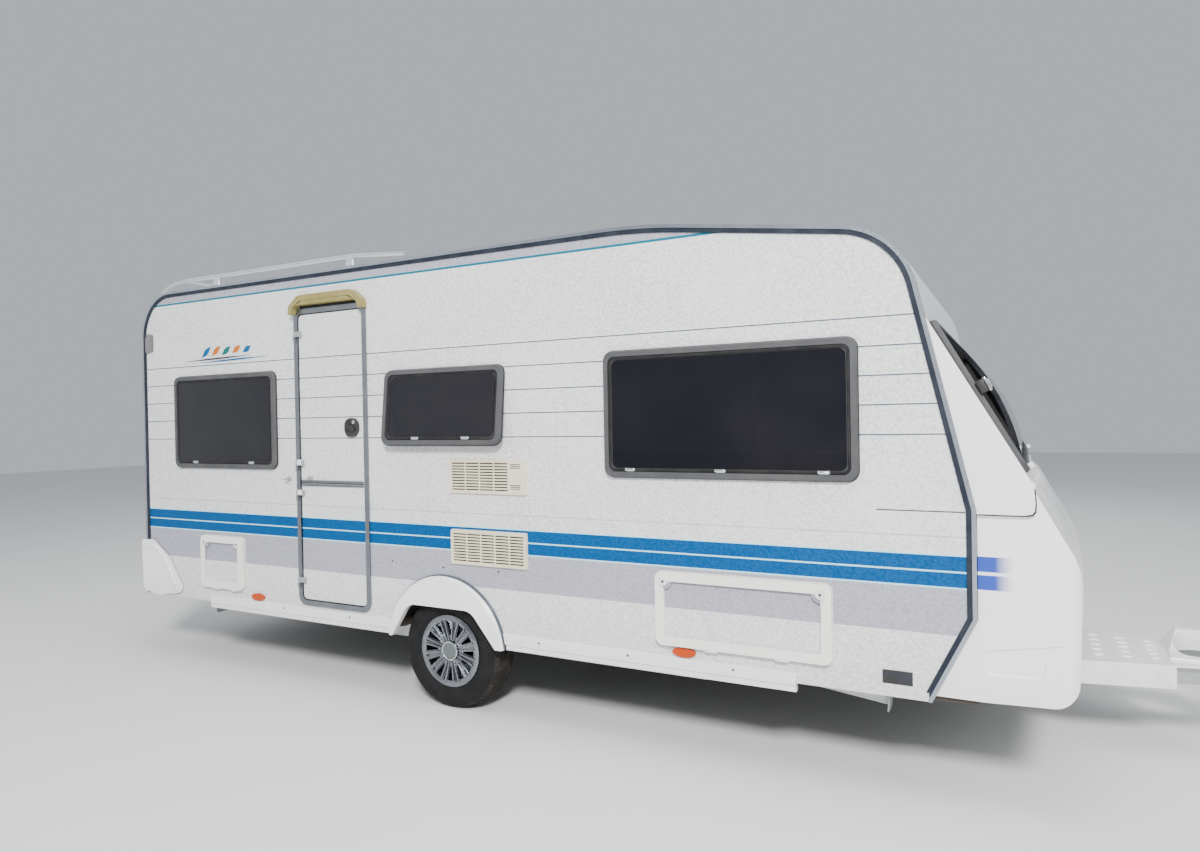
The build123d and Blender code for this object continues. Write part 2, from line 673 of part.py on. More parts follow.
# Wheel arch mouldings
arch_radius, arch_z = 392.0, tyre_radius + 25
arch_foot_z = 376.0
arch_proud = 32.0
arch_shoulder, arch_flange = 14.0, 7.0
sill_top_z, rail_foot_z = 461.0, 377.0
arch_mouth = [(-362.0, arch_foot_z - 10), (-238.0, 563.0), (188.0, 563.0), (352.0, arch_foot_z - 10)]
with BuildPart() as wheel_arches:
    for side in (1, -1):
        with BuildSketch(side_plane(side, seat_gap)):
            with Locations((axle_x, arch_z)):
                Circle(arch_radius)
            with Locations((axle_x, arch_foot_z + arch_radius)):
                Rectangle(2 * arch_radius, 2 * arch_radius, mode=Mode.INTERSECT)
            with BuildLine():
                FilletPolyline(*[(fore(x), z) for x, z in arch_mouth], radius=[0, 90, 90, 0], close=True)
            make_face(mode=Mode.SUBTRACT)
        extrude(amount=side * arch_proud)
        face_y = -side * (half_width + seat_gap + arch_proud)
        shoulder = wheel_arches.edges().filter_by(GeomType.CIRCLE).filter_by(
            lambda edge: abs(edge.radius - arch_radius) < 1 and abs(edge.position_at(0).Y - face_y) < 1)
        chamfer(shoulder, arch_shoulder)
        with BuildSketch(side_plane(side, seat_gap)):
            with Locations((axle_x, arch_z)):
                Circle(arch_radius + arch_flange)
                Circle(arch_radius - 20, mode=Mode.SUBTRACT)
            with Locations((axle_x, sill_top_z + arch_radius)):
                Rectangle(3 * arch_radius, 2 * arch_radius, mode=Mode.INTERSECT)
        extrude(amount=side * 6)
wheel_arches.part.label = "wheel_arches"
export_step(wheel_arches.part, "parts/wheel_arches.step")

# Sills: a strip on the wall's foot with a rail below it
sill_spans = ((-1940.0, -arch_radius + 50), (arch_radius - 50, 1899.0))
with BuildPart() as sills:
    for side in (1, -1):
        for start, end in sill_spans:
            with BuildSketch(Plane.YZ.offset(fore(start))):
                with BuildLine():
                    face_y = -side * (half_width + seat_gap)
                    Polyline((face_y, sill_top_z), (face_y - side * 9, sill_top_z - 3),
                             (face_y - side * 9, floor_z - 8), (face_y - side * 2, floor_z - 12),
                             (face_y - side * 2, rail_foot_z), (face_y + side * 26, rail_foot_z),
                             (face_y + side * 26, floor_z - seat_gap), (face_y, floor_z - seat_gap),
                             close=True)
                make_face()
            extrude(amount=end - start)
    with BuildSketch(Plane.XZ):
        with Locations((axle_x, arch_z)):
            Circle(arch_radius + arch_flange + seat_gap)
    extrude(amount=half_width + 50, both=True, mode=Mode.SUBTRACT)
sills.part.label = "sills"
export_step(sills.part, "parts/sills.step")

# Edge trims round the side walls: bright outer rail and a dark insert
trim_w, insert_w = 16.0, 20.0
trim_proud = 9.0


def edge_ring(side, outer, inner, out):
    """Ring along the side outline between two insets, open along the foot."""
    with BuildPart() as ring:
        with BuildSketch(side_plane(side, seat_gap)):
            add(inset_outline(outer))
            add(inset_outline(inner), mode=Mode.SUBTRACT)
            with Locations(((back_x + undercut_x) / 2, floor_z)):
                Rectangle(undercut_x - back_x - 20, 2 * (inner + 2), mode=Mode.SUBTRACT)
        extrude(amount=side * out)
    return ring.part


with BuildPart() as edge_trims:
    for side in (1, -1):
        add(edge_ring(side, 0, trim_w, trim_proud))
edge_trims.part.label = "edge_trims"
export_step(edge_trims.part, "parts/edge_trims.step")

with BuildPart() as trim_inserts:
    for side in (1, -1):
        add(edge_ring(side, trim_w + seat_gap, trim_w + insert_w, trim_proud - 3))
trim_inserts.part.label = "trim_inserts"
export_step(trim_inserts.part, "parts/trim_inserts.step")

# Roof lights: frame and a hinged dome
with BuildPart() as rooflight_frames:
    for x, length, width in rooflights.values():
        with BuildSketch(Plane.XY.offset(roof_z + seat_gap)):
            with Locations((x, 0)):
                RectangleRounded(length, width, 50)
                RectangleRounded(length - 2 * rooflight_lap, width - 2 * rooflight_lap, 40,
                                 mode=Mode.SUBTRACT)
        extrude(amount=18)
rooflight_frames.part.label = "rooflight_frames"
export_step(rooflight_frames.part, "parts/rooflight_frames.step")


def rooflight_dome(x, length, width):
    """Domed lid of a roof light."""
    with BuildPart() as dome:
        base_z = roof_z + 18 + 2 * seat_gap
        with BuildSketch(Plane.XY.offset(base_z)):
            with Locations((x, 0)):
                RectangleRounded(length - 6, width - 6, 48)
        extrude(amount=14)
        with BuildSketch(Plane.XY.offset(base_z + 14)):
            with Locations((x, 0)):
                RectangleRounded(length - 30, width - 30, 40)
        extrude(amount=38, taper=35)
        with BuildSketch(Plane.XY.offset(base_z)):
            with Locations((x, 0)):
                RectangleRounded(length - 2 * rooflight_lap, width - 2 * rooflight_lap, 36)
        extrude(amount=10, mode=Mode.SUBTRACT)
    return dome.part


with BuildPart() as rooflight_front:
    add(rooflight_dome(*rooflights["front"]))
rooflight_front.part.label = "rooflight_front"
export_step(rooflight_front.part, "parts/rooflight_front.step")

with BuildPart() as rooflight_rear:
    add(rooflight_dome(*rooflights["rear"]))
rooflight_rear.part.label = "rooflight_rear"
export_step(rooflight_rear.part, "parts/rooflight_rear.step")

# Roof rails, open at the front, with a cross tube where they bend down to the rear edge
rail_y, rail_r = half_width - 100.0, 16.0
rail_z = roof_z + 89.0
rail_path = [(-324.0, rail_z - 30), (-715.0, rail_z), (-2230.0, rail_z), (-2420.0, rail_z - 14),
             (-2560.0, roof_z + 1)]
rail_posts = (-741.0, -1944.0)
with BuildPart() as roof_rails:
    for side in (1, -1):
        with BuildLine(Plane.XZ.offset(side * rail_y)):
            rail_line = FilletPolyline(*[(fore(x), z) for x, z in rail_path], radius=[400, 400, 200])
        with BuildSketch(Plane(origin=rail_line @ 0, z_dir=rail_line % 0)):
            Circle(rail_r)
        sweep(path=rail_line)
        for x in rail_posts:
            with BuildSketch(Plane.XY.offset(roof_z + seat_gap)):
                with Locations((fore(x), -side * rail_y)):
                    RectangleRounded(70, 40, 8)
            extrude(amount=rail_z - rail_r - roof_z + 4, taper=7)
    with BuildSketch(Plane.XZ):
        with Locations((fore(-2290.0), rail_z)):
            Circle(rail_r - 2)
    extrude(amount=rail_y, both=True)
roof_rails.part.label = "roof_rails"
export_step(roof_rails.part, "parts/roof_rails.step")

# Rear bumper moulding with its corner ends
bumper_half = half_width + 16.0
cluster_x = fore(-2651.0)
cluster_proud, cluster_sunk = 12.0, 20.0


def lamp_cluster(side, grow):
    """Rear lamp of one side, sunk into the bumper, this much larger all round."""
    with BuildPart() as cluster:
        with BuildSketch(Plane(origin=(cluster_x + cluster_sunk + grow, 0, 0), x_dir=(0, -1, 0),
                               z_dir=(-1, 0, 0))):
            with Locations((side * (half_width - 220), 620)):
                RectangleRounded(260 + 2 * grow, 120 + 2 * grow, 20)
        extrude(amount=cluster_sunk + grow + cluster_proud)
    return cluster.part


with BuildPart() as rear_bumper:
    with BuildSketch(Plane.XZ):
        with BuildLine():
            FilletPolyline(
                (fore(-2651), 784), (fore(-2525), 791), (fore(-2360), 682), (fore(-2215), 478),
                (fore(-2250), 446), (fore(-2490), 412), (fore(-2640), 440),
                radius=[16, 60, 60, 20, 20, 80, 40], close=True)
        make_face()
    extrude(amount=bumper_half, both=True)
    with BuildSketch(Plane.XY):
        with Locations((back_x - seat_gap + 500, 0)):
            Rectangle(1000, 2 * (half_width + trim_proud + 2 * seat_gap))
    extrude(amount=1000, mode=Mode.SUBTRACT)
    for side in (1, -1):
        add(lamp_cluster(side, seat_gap), mode=Mode.SUBTRACT)
rear_bumper.part.label = "rear_bumper"
export_step(rear_bumper.part, "parts/rear_bumper.step")

# Lamps: side markers, top corner markers, rear clusters
with BuildPart() as marker_lamps:
    for side in (1, -1):
        for x, z in ((-1481.0, 485.0), (1387.0, 487.0)):
            with BuildSketch(side_plane(side, seat_gap)):
                with Locations((fore(x), z)):
                    Ellipse(57, 22)
            extrude(amount=side * 12)
marker_lamps.part.label = "marker_lamps"
export_step(marker_lamps.part, "parts/marker_lamps.step")

with BuildPart() as corner_markers:
    for side in (1, -1):
        with BuildSketch(side_plane(side, seat_gap)):
            with BuildLine():
                FilletPolyline(
                    (back_x + 44, roof_z - 401), (back_x + 112, roof_z - 393), (back_x + 112, roof_z - 277),
                    (back_x + 70, roof_z - 268), (back_x + 44, roof_z - 303), radius=10, close=True)
            make_face()
        extrude(amount=side * 14)
corner_markers.part.label = "corner_markers"
export_step(corner_markers.part, "parts/corner_markers.step")

with BuildPart() as rear_lamps:
    for side in (1, -1):
        add(lamp_cluster(side, 0))
rear_lamps.part.label = "rear_lamps"
export_step(rear_lamps.part, "parts/rear_lamps.step")

# Axle line
axle_tube_x, axle_tube_z, axle_tube_r = fore(150.0), tyre_radius + 15.0, 48.0
stub_radius = 20.0
drum_y, drum_w, drum_radius = wheel_y - 118.0, 52.0, 125.0

# Chassis: a channel on each side whose drawbar arm turns inwards to the coupling
rail_h, rail_flange, rail_t = 185.0, 55.0, 4.0
rail_outer_y = 740.0
arm_start_x = fore(1340.0)
arm_end_x = fore(3760.0)
arm_end_y = 92.0
arm_h = 84.0
rail_back_x = fore(-2480.0)
rail_top_z = floor_z - seat_gap


def channel(side, height):
    """Channel section that opens towards the middle, its web at local x = 0."""
    flange = side * rail_flange
    web = side * rail_t
    with BuildSketch() as section:
        with BuildLine():
            Polyline((0, 0), (0, -height), (flange, -height), (flange, -height + rail_t),
                     (web, -height + rail_t), (web, -rail_t), (flange, -rail_t), (flange, 0), close=True)
        make_face()
    return section.sketch


def chassis_side(side):
    """Longitudinal rail and drawbar arm of one side."""
    with BuildPart() as beam:
        rail_plane = Plane(origin=(rail_back_x, -side * rail_outer_y, rail_top_z), x_dir=(0, 1, 0),
                           z_dir=(1, 0, 0))
        with BuildSketch(rail_plane):
            add(channel(side, rail_h))
        extrude(amount=arm_start_x - rail_back_x)
        with BuildSketch(Plane.XZ.offset(side * (rail_outer_y - 2 * rail_flange))):
            with Locations((axle_tube_x, axle_tube_z)):
                RegularPolygon(axle_tube_r + seat_gap, 6, rotation=30)
        extrude(amount=side * 4 * rail_flange, mode=Mode.SUBTRACT)
        arm_dir = Vector(arm_end_x - arm_start_x, side * (rail_outer_y - arm_end_y), 0)
        arm_plane = Plane(origin=(arm_start_x, -side * rail_outer_y, rail_top_z),
                          x_dir=Vector(0, 0, 1).cross(arm_dir).normalized(), z_dir=arm_dir.normalized())
        with BuildSketch(arm_plane):
            add(channel(side, arm_h))
        extrude(amount=arm_dir.length)
    return beam.part


with BuildPart() as chassis_right:
    add(chassis_side(1))
chassis_right.part.label = "chassis_right"
export_step(chassis_right.part, "parts/chassis_right.step")

with BuildPart() as chassis_left:
    add(chassis_side(-1))
chassis_left.part.label = "chassis_left"
export_step(chassis_left.part, "parts/chassis_left.step")

# Axle: tube ahead of the wheels, trailing arms, stub axles and brake drums
axle_half = drum_y - drum_w / 2 - 60
with BuildPart() as axle_beam:
    with BuildSketch(Plane.XZ):
        with Locations((axle_tube_x, axle_tube_z)):
            RegularPolygon(axle_tube_r, 6, rotation=30)
    extrude(amount=axle_half, both=True)
axle_beam.part.label = "axle_beam"
export_step(axle_beam.part, "parts/axle_beam.step")

with BuildPart() as swing_arms:
    for side in (1, -1):
        with BuildSketch(Plane.XZ.offset(side * (axle_half + seat_gap))):
            with BuildLine():
                Polyline((axle_tube_x + 44, axle_tube_z + 34), (axle_tube_x + 44, axle_tube_z - 34),
                         (axle_x, tyre_radius - 30), (axle_x - 30, tyre_radius), (axle_x, tyre_radius + 30),
                         close=True)
            make_face()
        extrude(amount=side * 40)
        with BuildSketch(Plane.XZ.offset(side * (axle_half + 40))):
            with Locations((axle_x, tyre_radius)):
                Circle(drum_radius)
        extrude(amount=side * (drum_w + 14))
        with BuildSketch(Plane.XZ.offset(side * (axle_half + 90))):
            with Locations((axle_x, tyre_radius)):
                Circle(stub_radius)
        extrude(amount=side * (wheel_y - axle_half - 90 + 42))
swing_arms.part.label = "swing_arms"
export_step(swing_arms.part, "parts/swing_arms.step")

# Tyres and wheels, turned about the axle line
tyre_half = tyre_width / 2


def wheel_axis():
    return Axis((axle_x, 0, tyre_radius), (0, 1, 0))


# Half section of the tyre from bead to tread: distance from its middle, radius
tyre_section = [(tyre_half - 25, rim_radius + 1), (tyre_half - 14, rim_radius + 20), (tyre_half - 3, 228),
                (tyre_half, 256), (tyre_half - 5, 284), (tyre_half - 16, 305), (tyre_half - 32, tyre_radius)]


def tyre(side):
    """Tyre of one side."""
    with BuildPart() as carcass:
        with BuildSketch(Plane.YZ.offset(axle_x)):
            with BuildLine():
                Polyline(*[(-side * wheel_y + way * across, tyre_radius + up)
                           for way, row in ((1, tyre_section), (-1, tyre_section[::-1]))
                           for across, up in row],
                         close=True)
            make_face()
        revolve(axis=wheel_axis())
    return carcass.part


trim_out = 88.0                # trim's face outwards from the tyre's middle
slot_count = 12


def road_wheel(side):
    """Steel rim with its slotted trim."""
    with BuildPart() as rim:
        with BuildSketch(Plane.YZ.offset(axle_x)):
            with BuildLine():
                Polyline(*[(-side * wheel_y - side * out, tyre_radius + up) for out, up in (
                    (-tyre_half + 16, rim_radius), (-tyre_half + 16, rim_radius - 8), (-40, rim_radius - 26),
                    (24, rim_radius - 26), (24, stub_radius + 0.5),
                    (34, stub_radius + 0.5), (34, rim_radius - 20),
                    (trim_out, rim_radius - 8), (trim_out, rim_radius))], close=True)
            make_face()
        revolve(axis=wheel_axis())
        with BuildSketch(Plane.YZ.offset(axle_x)):
            with BuildLine():
                Polyline(*[(-side * wheel_y - side * out, tyre_radius + up) for out, up in (
                    (trim_out - 4, rim_radius - 20), (trim_out - 2, trim_radius),
                    (trim_out + 3, trim_radius - 2), (trim_out + 8, trim_radius - 18),
                    (trim_out + 1, 150), (trim_out - 8, 46), (trim_out + 1, 40),
                    (trim_out + 3, 0), (trim_out - 20, 0), (trim_out - 20, 150))], close=True)
            make_face()
        revolve(axis=wheel_axis())
        with BuildSketch(Plane.XZ.offset(side * (wheel_y + trim_out + 20))):
            with Locations((axle_x, tyre_radius)):
                with PolarLocations(0, slot_count):
                    Polygon((86, -5), (162, -17), (162, 17), (86, 5), align=None)
        extrude(amount=-side * 50, mode=Mode.SUBTRACT)
        # Groove along the middle of every spoke
        with BuildSketch(Plane.XZ.offset(side * (wheel_y + trim_out + 20))):
            with Locations((axle_x, tyre_radius)):
                with PolarLocations(118, slot_count, start_angle=180 / slot_count):
                    Rectangle(100, 7)
        extrude(amount=-side * 27, mode=Mode.SUBTRACT)
    return rim.part


for side, name in ((1, "right"), (-1, "left")):
    with BuildPart() as tyre_part:
        add(tyre(side))
    tyre_part.part.label = "tyre_" + name
    export_step(tyre_part.part, "parts/tyre_" + name + ".step")
    with BuildPart() as wheel_part:
        add(road_wheel(side))
    wheel_part.part.label = "wheel_" + name
    export_step(wheel_part.part, "parts/wheel_" + name + ".step")

# Coupling head with its ball socket, on the overrun tube
socket_radius = 25.5
coupling_z = 418.0             # middle of the ball
socket_x = fore(coupling_reach - 62.0)
tube_radius = 30.0
tube_z = coupling_z - 40
with BuildPart() as coupling:
    with BuildSketch(Plane.YZ.offset(arm_end_x - 90)):
        with Locations((0, tube_z)):
            Circle(tube_radius)
    extrude(amount=socket_x - 60 - (arm_end_x - 90))
    with BuildSketch(Plane.XY.offset(coupling_z - 14)):
        with BuildLine():
            FilletPolyline((socket_x - 170, -34), (socket_x - 20, -46), (socket_x + 62, -34),
                           (socket_x + 62, 34), (socket_x - 20, 46), (socket_x - 170, 34),
                           radius=[10, 30, 28, 28, 30, 10], close=True)
        make_face()
    extrude(amount=56)
    with BuildSketch(Plane.XY.offset(coupling_z - 44)):
        with Locations((socket_x - 115, 0)):
            Rectangle(110, 60)
    extrude(amount=40)
    with BuildSketch(Plane.XY.offset(coupling_z - 14)):
        with Locations((socket_x, 0)):
            Circle(socket_radius)
    extrude(amount=32, mode=Mode.SUBTRACT)
coupling.part.label = "coupling"
export_step(coupling.part, "parts/coupling.step")

# Overrun housing, its gaiter and the plate that joins the drawbar arms
plate_t = 10.0
with BuildPart() as overrun_housing:
    with BuildSketch(Plane.YZ.offset(arm_end_x + seat_gap)):
        with Locations((0, tube_z - 18)):
            Rectangle(2 * arm_end_y + 12, 96)
    extrude(amount=plate_t)
    with BuildSketch(Plane.YZ.offset(arm_end_x + seat_gap)):
        with Locations((0, tube_z)):
            Rectangle(66, 68)
    extrude(amount=-190)
    for ring in range(5):
        with BuildSketch(Plane.YZ.offset(arm_end_x + seat_gap + plate_t + ring * 20)):
            with Locations((0, tube_z)):
                Circle(tube_radius + 14)
        extrude(amount=20, taper=18)
    with BuildSketch(Plane.YZ.offset(arm_end_x - 200)):
        with Locations((0, tube_z)):
            Circle(tube_radius + seat_gap)
    extrude(amount=400, mode=Mode.SUBTRACT)
overrun_housing.part.label = "overrun_housing"
export_step(overrun_housing.part, "parts/overrun_housing.step")

# Handbrake lever over the overrun housing
lever_x = arm_end_x - 60
with BuildPart() as handbrake:
    with BuildSketch(Plane.XZ.offset(20)):
        with BuildLine():
            FilletPolyline(
                (lever_x - 30, tube_z + 34 + seat_gap), (lever_x + 40, tube_z + 34 + seat_gap),
                (lever_x + 40, tube_z + 62), (lever_x + 250, tube_z + 120), (lever_x + 244, tube_z + 140),
                (lever_x + 10, tube_z + 92), (lever_x - 30, tube_z + 70),
                radius=[0, 0, 20, 8, 8, 20, 10], close=True)
        make_face()
    extrude(amount=-12)
    with BuildSketch(Plane(origin=(lever_x + 246, -14, tube_z + 130), z_dir=(1, 0, 0.26))):
        Circle(13)
    extrude(amount=90)
handbrake.part.label = "handbrake"
export_step(handbrake.part, "parts/handbrake.step")

# Drawbar cover: a tray upside down on the arms, with a raised collar round a round recess
cover_back_x, cover_front_x = fore(2985.0), fore(3655.0)
cover_half_back, cover_taper = 317.0, 0.212
cover_top_z, cover_foot_z = 423.0, 317.0
cover_t = cover_top_z - rail_top_z - seat_gap
bowl_x, bowl_r = fore(3484.0), 104.0
collar_back_x, collar_front_x = fore(3345.0), fore(3628.0)
collar_low, collar_high = 12.0, 88.0       # above the cover's top, on the right and on the left


def cover_plan(inset, front, back):
    """Plan outline of the cover, inset from its sides."""
    half_front = cover_half_back - cover_taper * (cover_front_x - cover_back_x)
    with BuildSketch() as plan:
        with BuildLine():
            FilletPolyline(
                (back, -cover_half_back + inset), (front, -half_front + inset), (front, half_front - inset),
                (back, cover_half_back - inset), radius=[0, 30, 30, 0], close=True)
        make_face()
    return plan.sketch


with BuildPart() as drawbar_cover:
    with BuildSketch(Plane.XY.offset(cover_foot_z)):
        add(cover_plan(0, cover_front_x, cover_back_x))
    extrude(amount=cover_top_z - cover_foot_z)
    with BuildSketch(Plane.XY.offset(cover_foot_z)):
        add(cover_plan(5, cover_front_x + 90, cover_back_x - 50))
    extrude(amount=cover_top_z - cover_foot_z - cover_t, mode=Mode.SUBTRACT)
    # Raised collar, low on the right and rising over the bowl to the left
    with BuildSketch(Plane.YZ.offset(collar_back_x)):
        with BuildLine():
            FilletPolyline((-150, cover_top_z - 2), (-150, cover_top_z + collar_low),
                           (-60, cover_top_z + collar_low), (95, cover_top_z + collar_high),
                           (150, cover_top_z + collar_high), (168, cover_top_z - 2),
                           radius=[0, 10, 90, 60, 14, 0], close=True)
        make_face()
    extrude(amount=collar_front_x - collar_back_x)
    with BuildSketch(Plane.XZ):
        with BuildLine():
            Polyline((collar_back_x - 50, cover_top_z - 2), (collar_back_x - 50, cover_top_z + 120),
                     (collar_back_x + 78, cover_top_z + 120), (collar_back_x, cover_top_z - 2), close=True)
        make_face()
    extrude(amount=400, both=True, mode=Mode.SUBTRACT)
    with BuildSketch(Plane.XY.offset(cover_top_z + 100)):
        with Locations((bowl_x, 0)):
            Circle(bowl_r)
    extrude(amount=-100 - cover_t, mode=Mode.SUBTRACT)
    with BuildSketch(Plane.XY.offset(cover_top_z + 1)):
        for column in range(3):
            with Locations((cover_back_x + 83 + 115 * column, 0)):
                with GridLocations(1, 92 - 8 * column, 1, 5):
                    Ellipse(22, 8)
    extrude(amount=4, taper=30)
    with BuildSketch(Plane.XY.offset(cover_top_z)):
        for column in range(3):
            with Locations((cover_back_x + 83 + 115 * column, 0)):
                with GridLocations(1, 92 - 8 * column, 1, 5):
                    Ellipse(22, 8)
    extrude(amount=1)
drawbar_cover.part.label = "drawbar_cover"
export_step(drawbar_cover.part, "parts/drawbar_cover.step")

# Jockey wheel beside the left drawbar arm: clamp and outer tube, inner tube, fork, wheel
jockey_x, jockey_y = fore(3735.0), 160.0
outer_r, inner_r = 24.0, 19.5
outer_foot_z, outer_head_z = 332.0, 650.0
crown_z = 222.0
inner_head_z = 520.0
jockey_radius, jockey_w = 100.0, 50.0
castor = 45.0
arm_slope = (rail_outer_y - arm_end_y) / (arm_end_x - arm_start_x)
arm_y_here = arm_end_y + arm_slope * (arm_end_x - jockey_x)

with BuildPart() as jockey_clamp:
    with BuildSketch(Plane.XY.offset(outer_foot_z)):
        with Locations((jockey_x, jockey_y)):
            Circle(outer_r)
            Circle(inner_r + 0.5, mode=Mode.SUBTRACT)
    extrude(amount=outer_head_z - outer_foot_z)
    with BuildSketch(Plane.XY.offset(outer_head_z)):
        with Locations((jockey_x, jockey_y)):
            Circle(outer_r)
    extrude(amount=14)
    with BuildSketch(Plane.XY.offset(outer_head_z)):
        with Locations((jockey_x, jockey_y)):
            Circle(9)
    extrude(amount=40)
    with BuildSketch(Plane.XY.offset(outer_head_z + 34)):
        with Locations((jockey_x - 45, jockey_y)):
            SlotOverall(116, 20)
    extrude(amount=8)
    with BuildSketch(Plane.XY.offset(outer_head_z + 42)):
        with Locations((jockey_x - 92, jockey_y)):
            Circle(10)
    extrude(amount=80)
    with BuildSketch(Plane.XY.offset(rail_top_z - arm_h + 8)):
        with BuildLine():
            clamp_y = arm_y_here + 0.6
            Polyline((jockey_x - 24, clamp_y + 24 * arm_slope), (jockey_x + 24, clamp_y - 24 * arm_slope),
                     (jockey_x + 30, jockey_y), (jockey_x + 20, jockey_y + 32),
                     (jockey_x - 20, jockey_y + 32),
                     (jockey_x - 30, jockey_y), close=True)
        make_face()
        with Locations((jockey_x, jockey_y)):
            Circle(outer_r - 1, mode=Mode.SUBTRACT)
    extrude(amount=arm_h - 16)
jockey_clamp.part.label = "jockey_clamp"
export_step(jockey_clamp.part, "parts/jockey_clamp.step")

with BuildPart() as jockey_tube:
    with BuildSketch(Plane.XY.offset(crown_z + seat_gap)):
        with Locations((jockey_x, jockey_y)):
            Circle(inner_r)
    extrude(amount=inner_head_z - crown_z - seat_gap)
jockey_tube.part.label = "jockey_tube"
export_step(jockey_tube.part, "parts/jockey_tube.step")

fork_in = jockey_w / 2 + 5
with BuildPart() as jockey_fork:
    with BuildSketch(Plane.XZ.offset(-jockey_y)):
        with BuildLine():
            FilletPolyline(
                (jockey_x + 26, crown_z), (jockey_x - 40, crown_z), (jockey_x - castor - 24, jockey_radius),
                (jockey_x - castor - 12, jockey_radius - 18), (jockey_x - castor + 12, jockey_radius - 18),
                (jockey_x + 26, crown_z - 22), radius=[0, 20, 12, 10, 10, 6], close=True)
        make_face()
    extrude(amount=fork_in + 5, both=True)
    with BuildSketch(Plane.XZ.offset(-jockey_y)):
        with Locations((jockey_x - 50, crown_z - 10 - 150)):
            Rectangle(300, 300)
    extrude(amount=fork_in, both=True, mode=Mode.SUBTRACT)
    with BuildSketch(Plane.XZ.offset(-jockey_y)):
        with Locations((jockey_x - castor, jockey_radius)):
            Circle(8)
    extrude(amount=fork_in + 9, both=True)
jockey_fork.part.label = "jockey_fork"
export_step(jockey_fork.part, "parts/jockey_fork.step")

with BuildPart() as jockey_wheel:
    with BuildSketch(Plane.XZ.offset(-jockey_y)):
        with Locations((jockey_x - castor, jockey_radius)):
            Circle(jockey_radius)
            Circle(8.5, mode=Mode.SUBTRACT)
    extrude(amount=jockey_w / 2, both=True)
    chamfer(jockey_wheel.edges().filter_by(GeomType.CIRCLE).group_by(SortBy.RADIUS)[-1], 9)
    for side in (1, -1):
        with BuildSketch(Plane.XZ.offset(-jockey_y + side * jockey_w / 2)):
            with Locations((jockey_x - castor, jockey_radius)):
                Circle(66)
                Circle(26, mode=Mode.SUBTRACT)
        extrude(amount=-side * 12, mode=Mode.SUBTRACT)
jockey_wheel.part.label = "jockey_wheel"
export_step(jockey_wheel.part, "parts/jockey_wheel.step")

# Corner steadies, wound up: brackets under the floor and four legs
steady_y = half_width - 300.0
steady_places = {
    "front_right": (fore(1830.0), -steady_y, 1), "front_left": (fore(1830.0), steady_y, 1),
    "rear_right": (fore(-1830.0), -steady_y, -1), "rear_left": (fore(-1830.0), steady_y, -1),
}
steady_pivot_z = 350.0
steady_length = 430.0
steady_droop = 7.0
bracket_t = 4.0
leg_half = 20.0

with BuildPart() as steady_brackets:
    for x, y, way in steady_places.values():
        with BuildSketch(Plane.XY.offset(floor_z - seat_gap)):
            with Locations((x + way * 190, y)):
                Rectangle(460, 2 * leg_half + 24)
        extrude(amount=-bracket_t)
        for ear in (1, -1):
            with BuildSketch(Plane.XZ.offset(-y + ear * (leg_half + 1))):
                with BuildLine():
                    top = floor_z - seat_gap - bracket_t
                    Polyline((x - way * 34, top), (x + way * 60, top), (x + way * 18, steady_pivot_z - 16),
                             (x - way * 16, steady_pivot_z - 16), close=True)
                make_face()
            extrude(amount=ear * bracket_t)
        with BuildSketch(Plane.XZ.offset(-y)):
            with Locations((x, steady_pivot_z)):
                Circle(6)
        extrude(amount=leg_half + 1 + bracket_t, both=True)
        with BuildSketch(Plane.YZ.offset(x + way * 70)):
            with Locations((y, floor_z - 24)):
                Circle(8)
        extrude(amount=way * 350)
        with BuildSketch(Plane.YZ.offset(x + way * 400)):
            with Locations((y, floor_z - 17)):
                Rectangle(34, 34)
        extrude(amount=way * 12)
steady_brackets.part.label = "steady_brackets"
export_step(steady_brackets.part, "parts/steady_brackets.step")


def steady_leg(x, y, way):
    """Folded leg of a corner steady with its foot plate."""
    run = Vector(way * cos(radians(steady_droop)), 0, -sin(radians(steady_droop)))
    with BuildPart() as leg:
        leg_plane = Plane(origin=(x, y, steady_pivot_z), x_dir=(0, 1, 0), z_dir=run)
        up = 1 if leg_plane.y_dir.Z > 0 else -1
        with BuildSketch(leg_plane.offset(-18)):
            with Locations((0, 0)):
                Rectangle(2 * leg_half, 34)
            with Locations((0, up * 6)):
                Rectangle(2 * leg_half - 8, 34, mode=Mode.SUBTRACT)
        extrude(amount=steady_length)
        with BuildSketch(Plane.XZ.offset(-y)):
            with Locations((x, steady_pivot_z)):
                Circle(6.5)
        extrude(amount=leg_half + 5, both=True, mode=Mode.SUBTRACT)
        with BuildSketch(leg_plane.offset(steady_length - 20)):
            with Locations((0, -up * 4)):
                RectangleRounded(100, 84, 20)
        extrude(amount=6)
    return leg.part


for name, place in steady_places.items():
    with BuildPart() as steady_part:
        add(steady_leg(*place))
    steady_part.part.label = "steady_" + name
    export_step(steady_part.part, "parts/steady_" + name + ".step")
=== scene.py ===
import json
import math

import bpy
from mathutils import Matrix, Vector


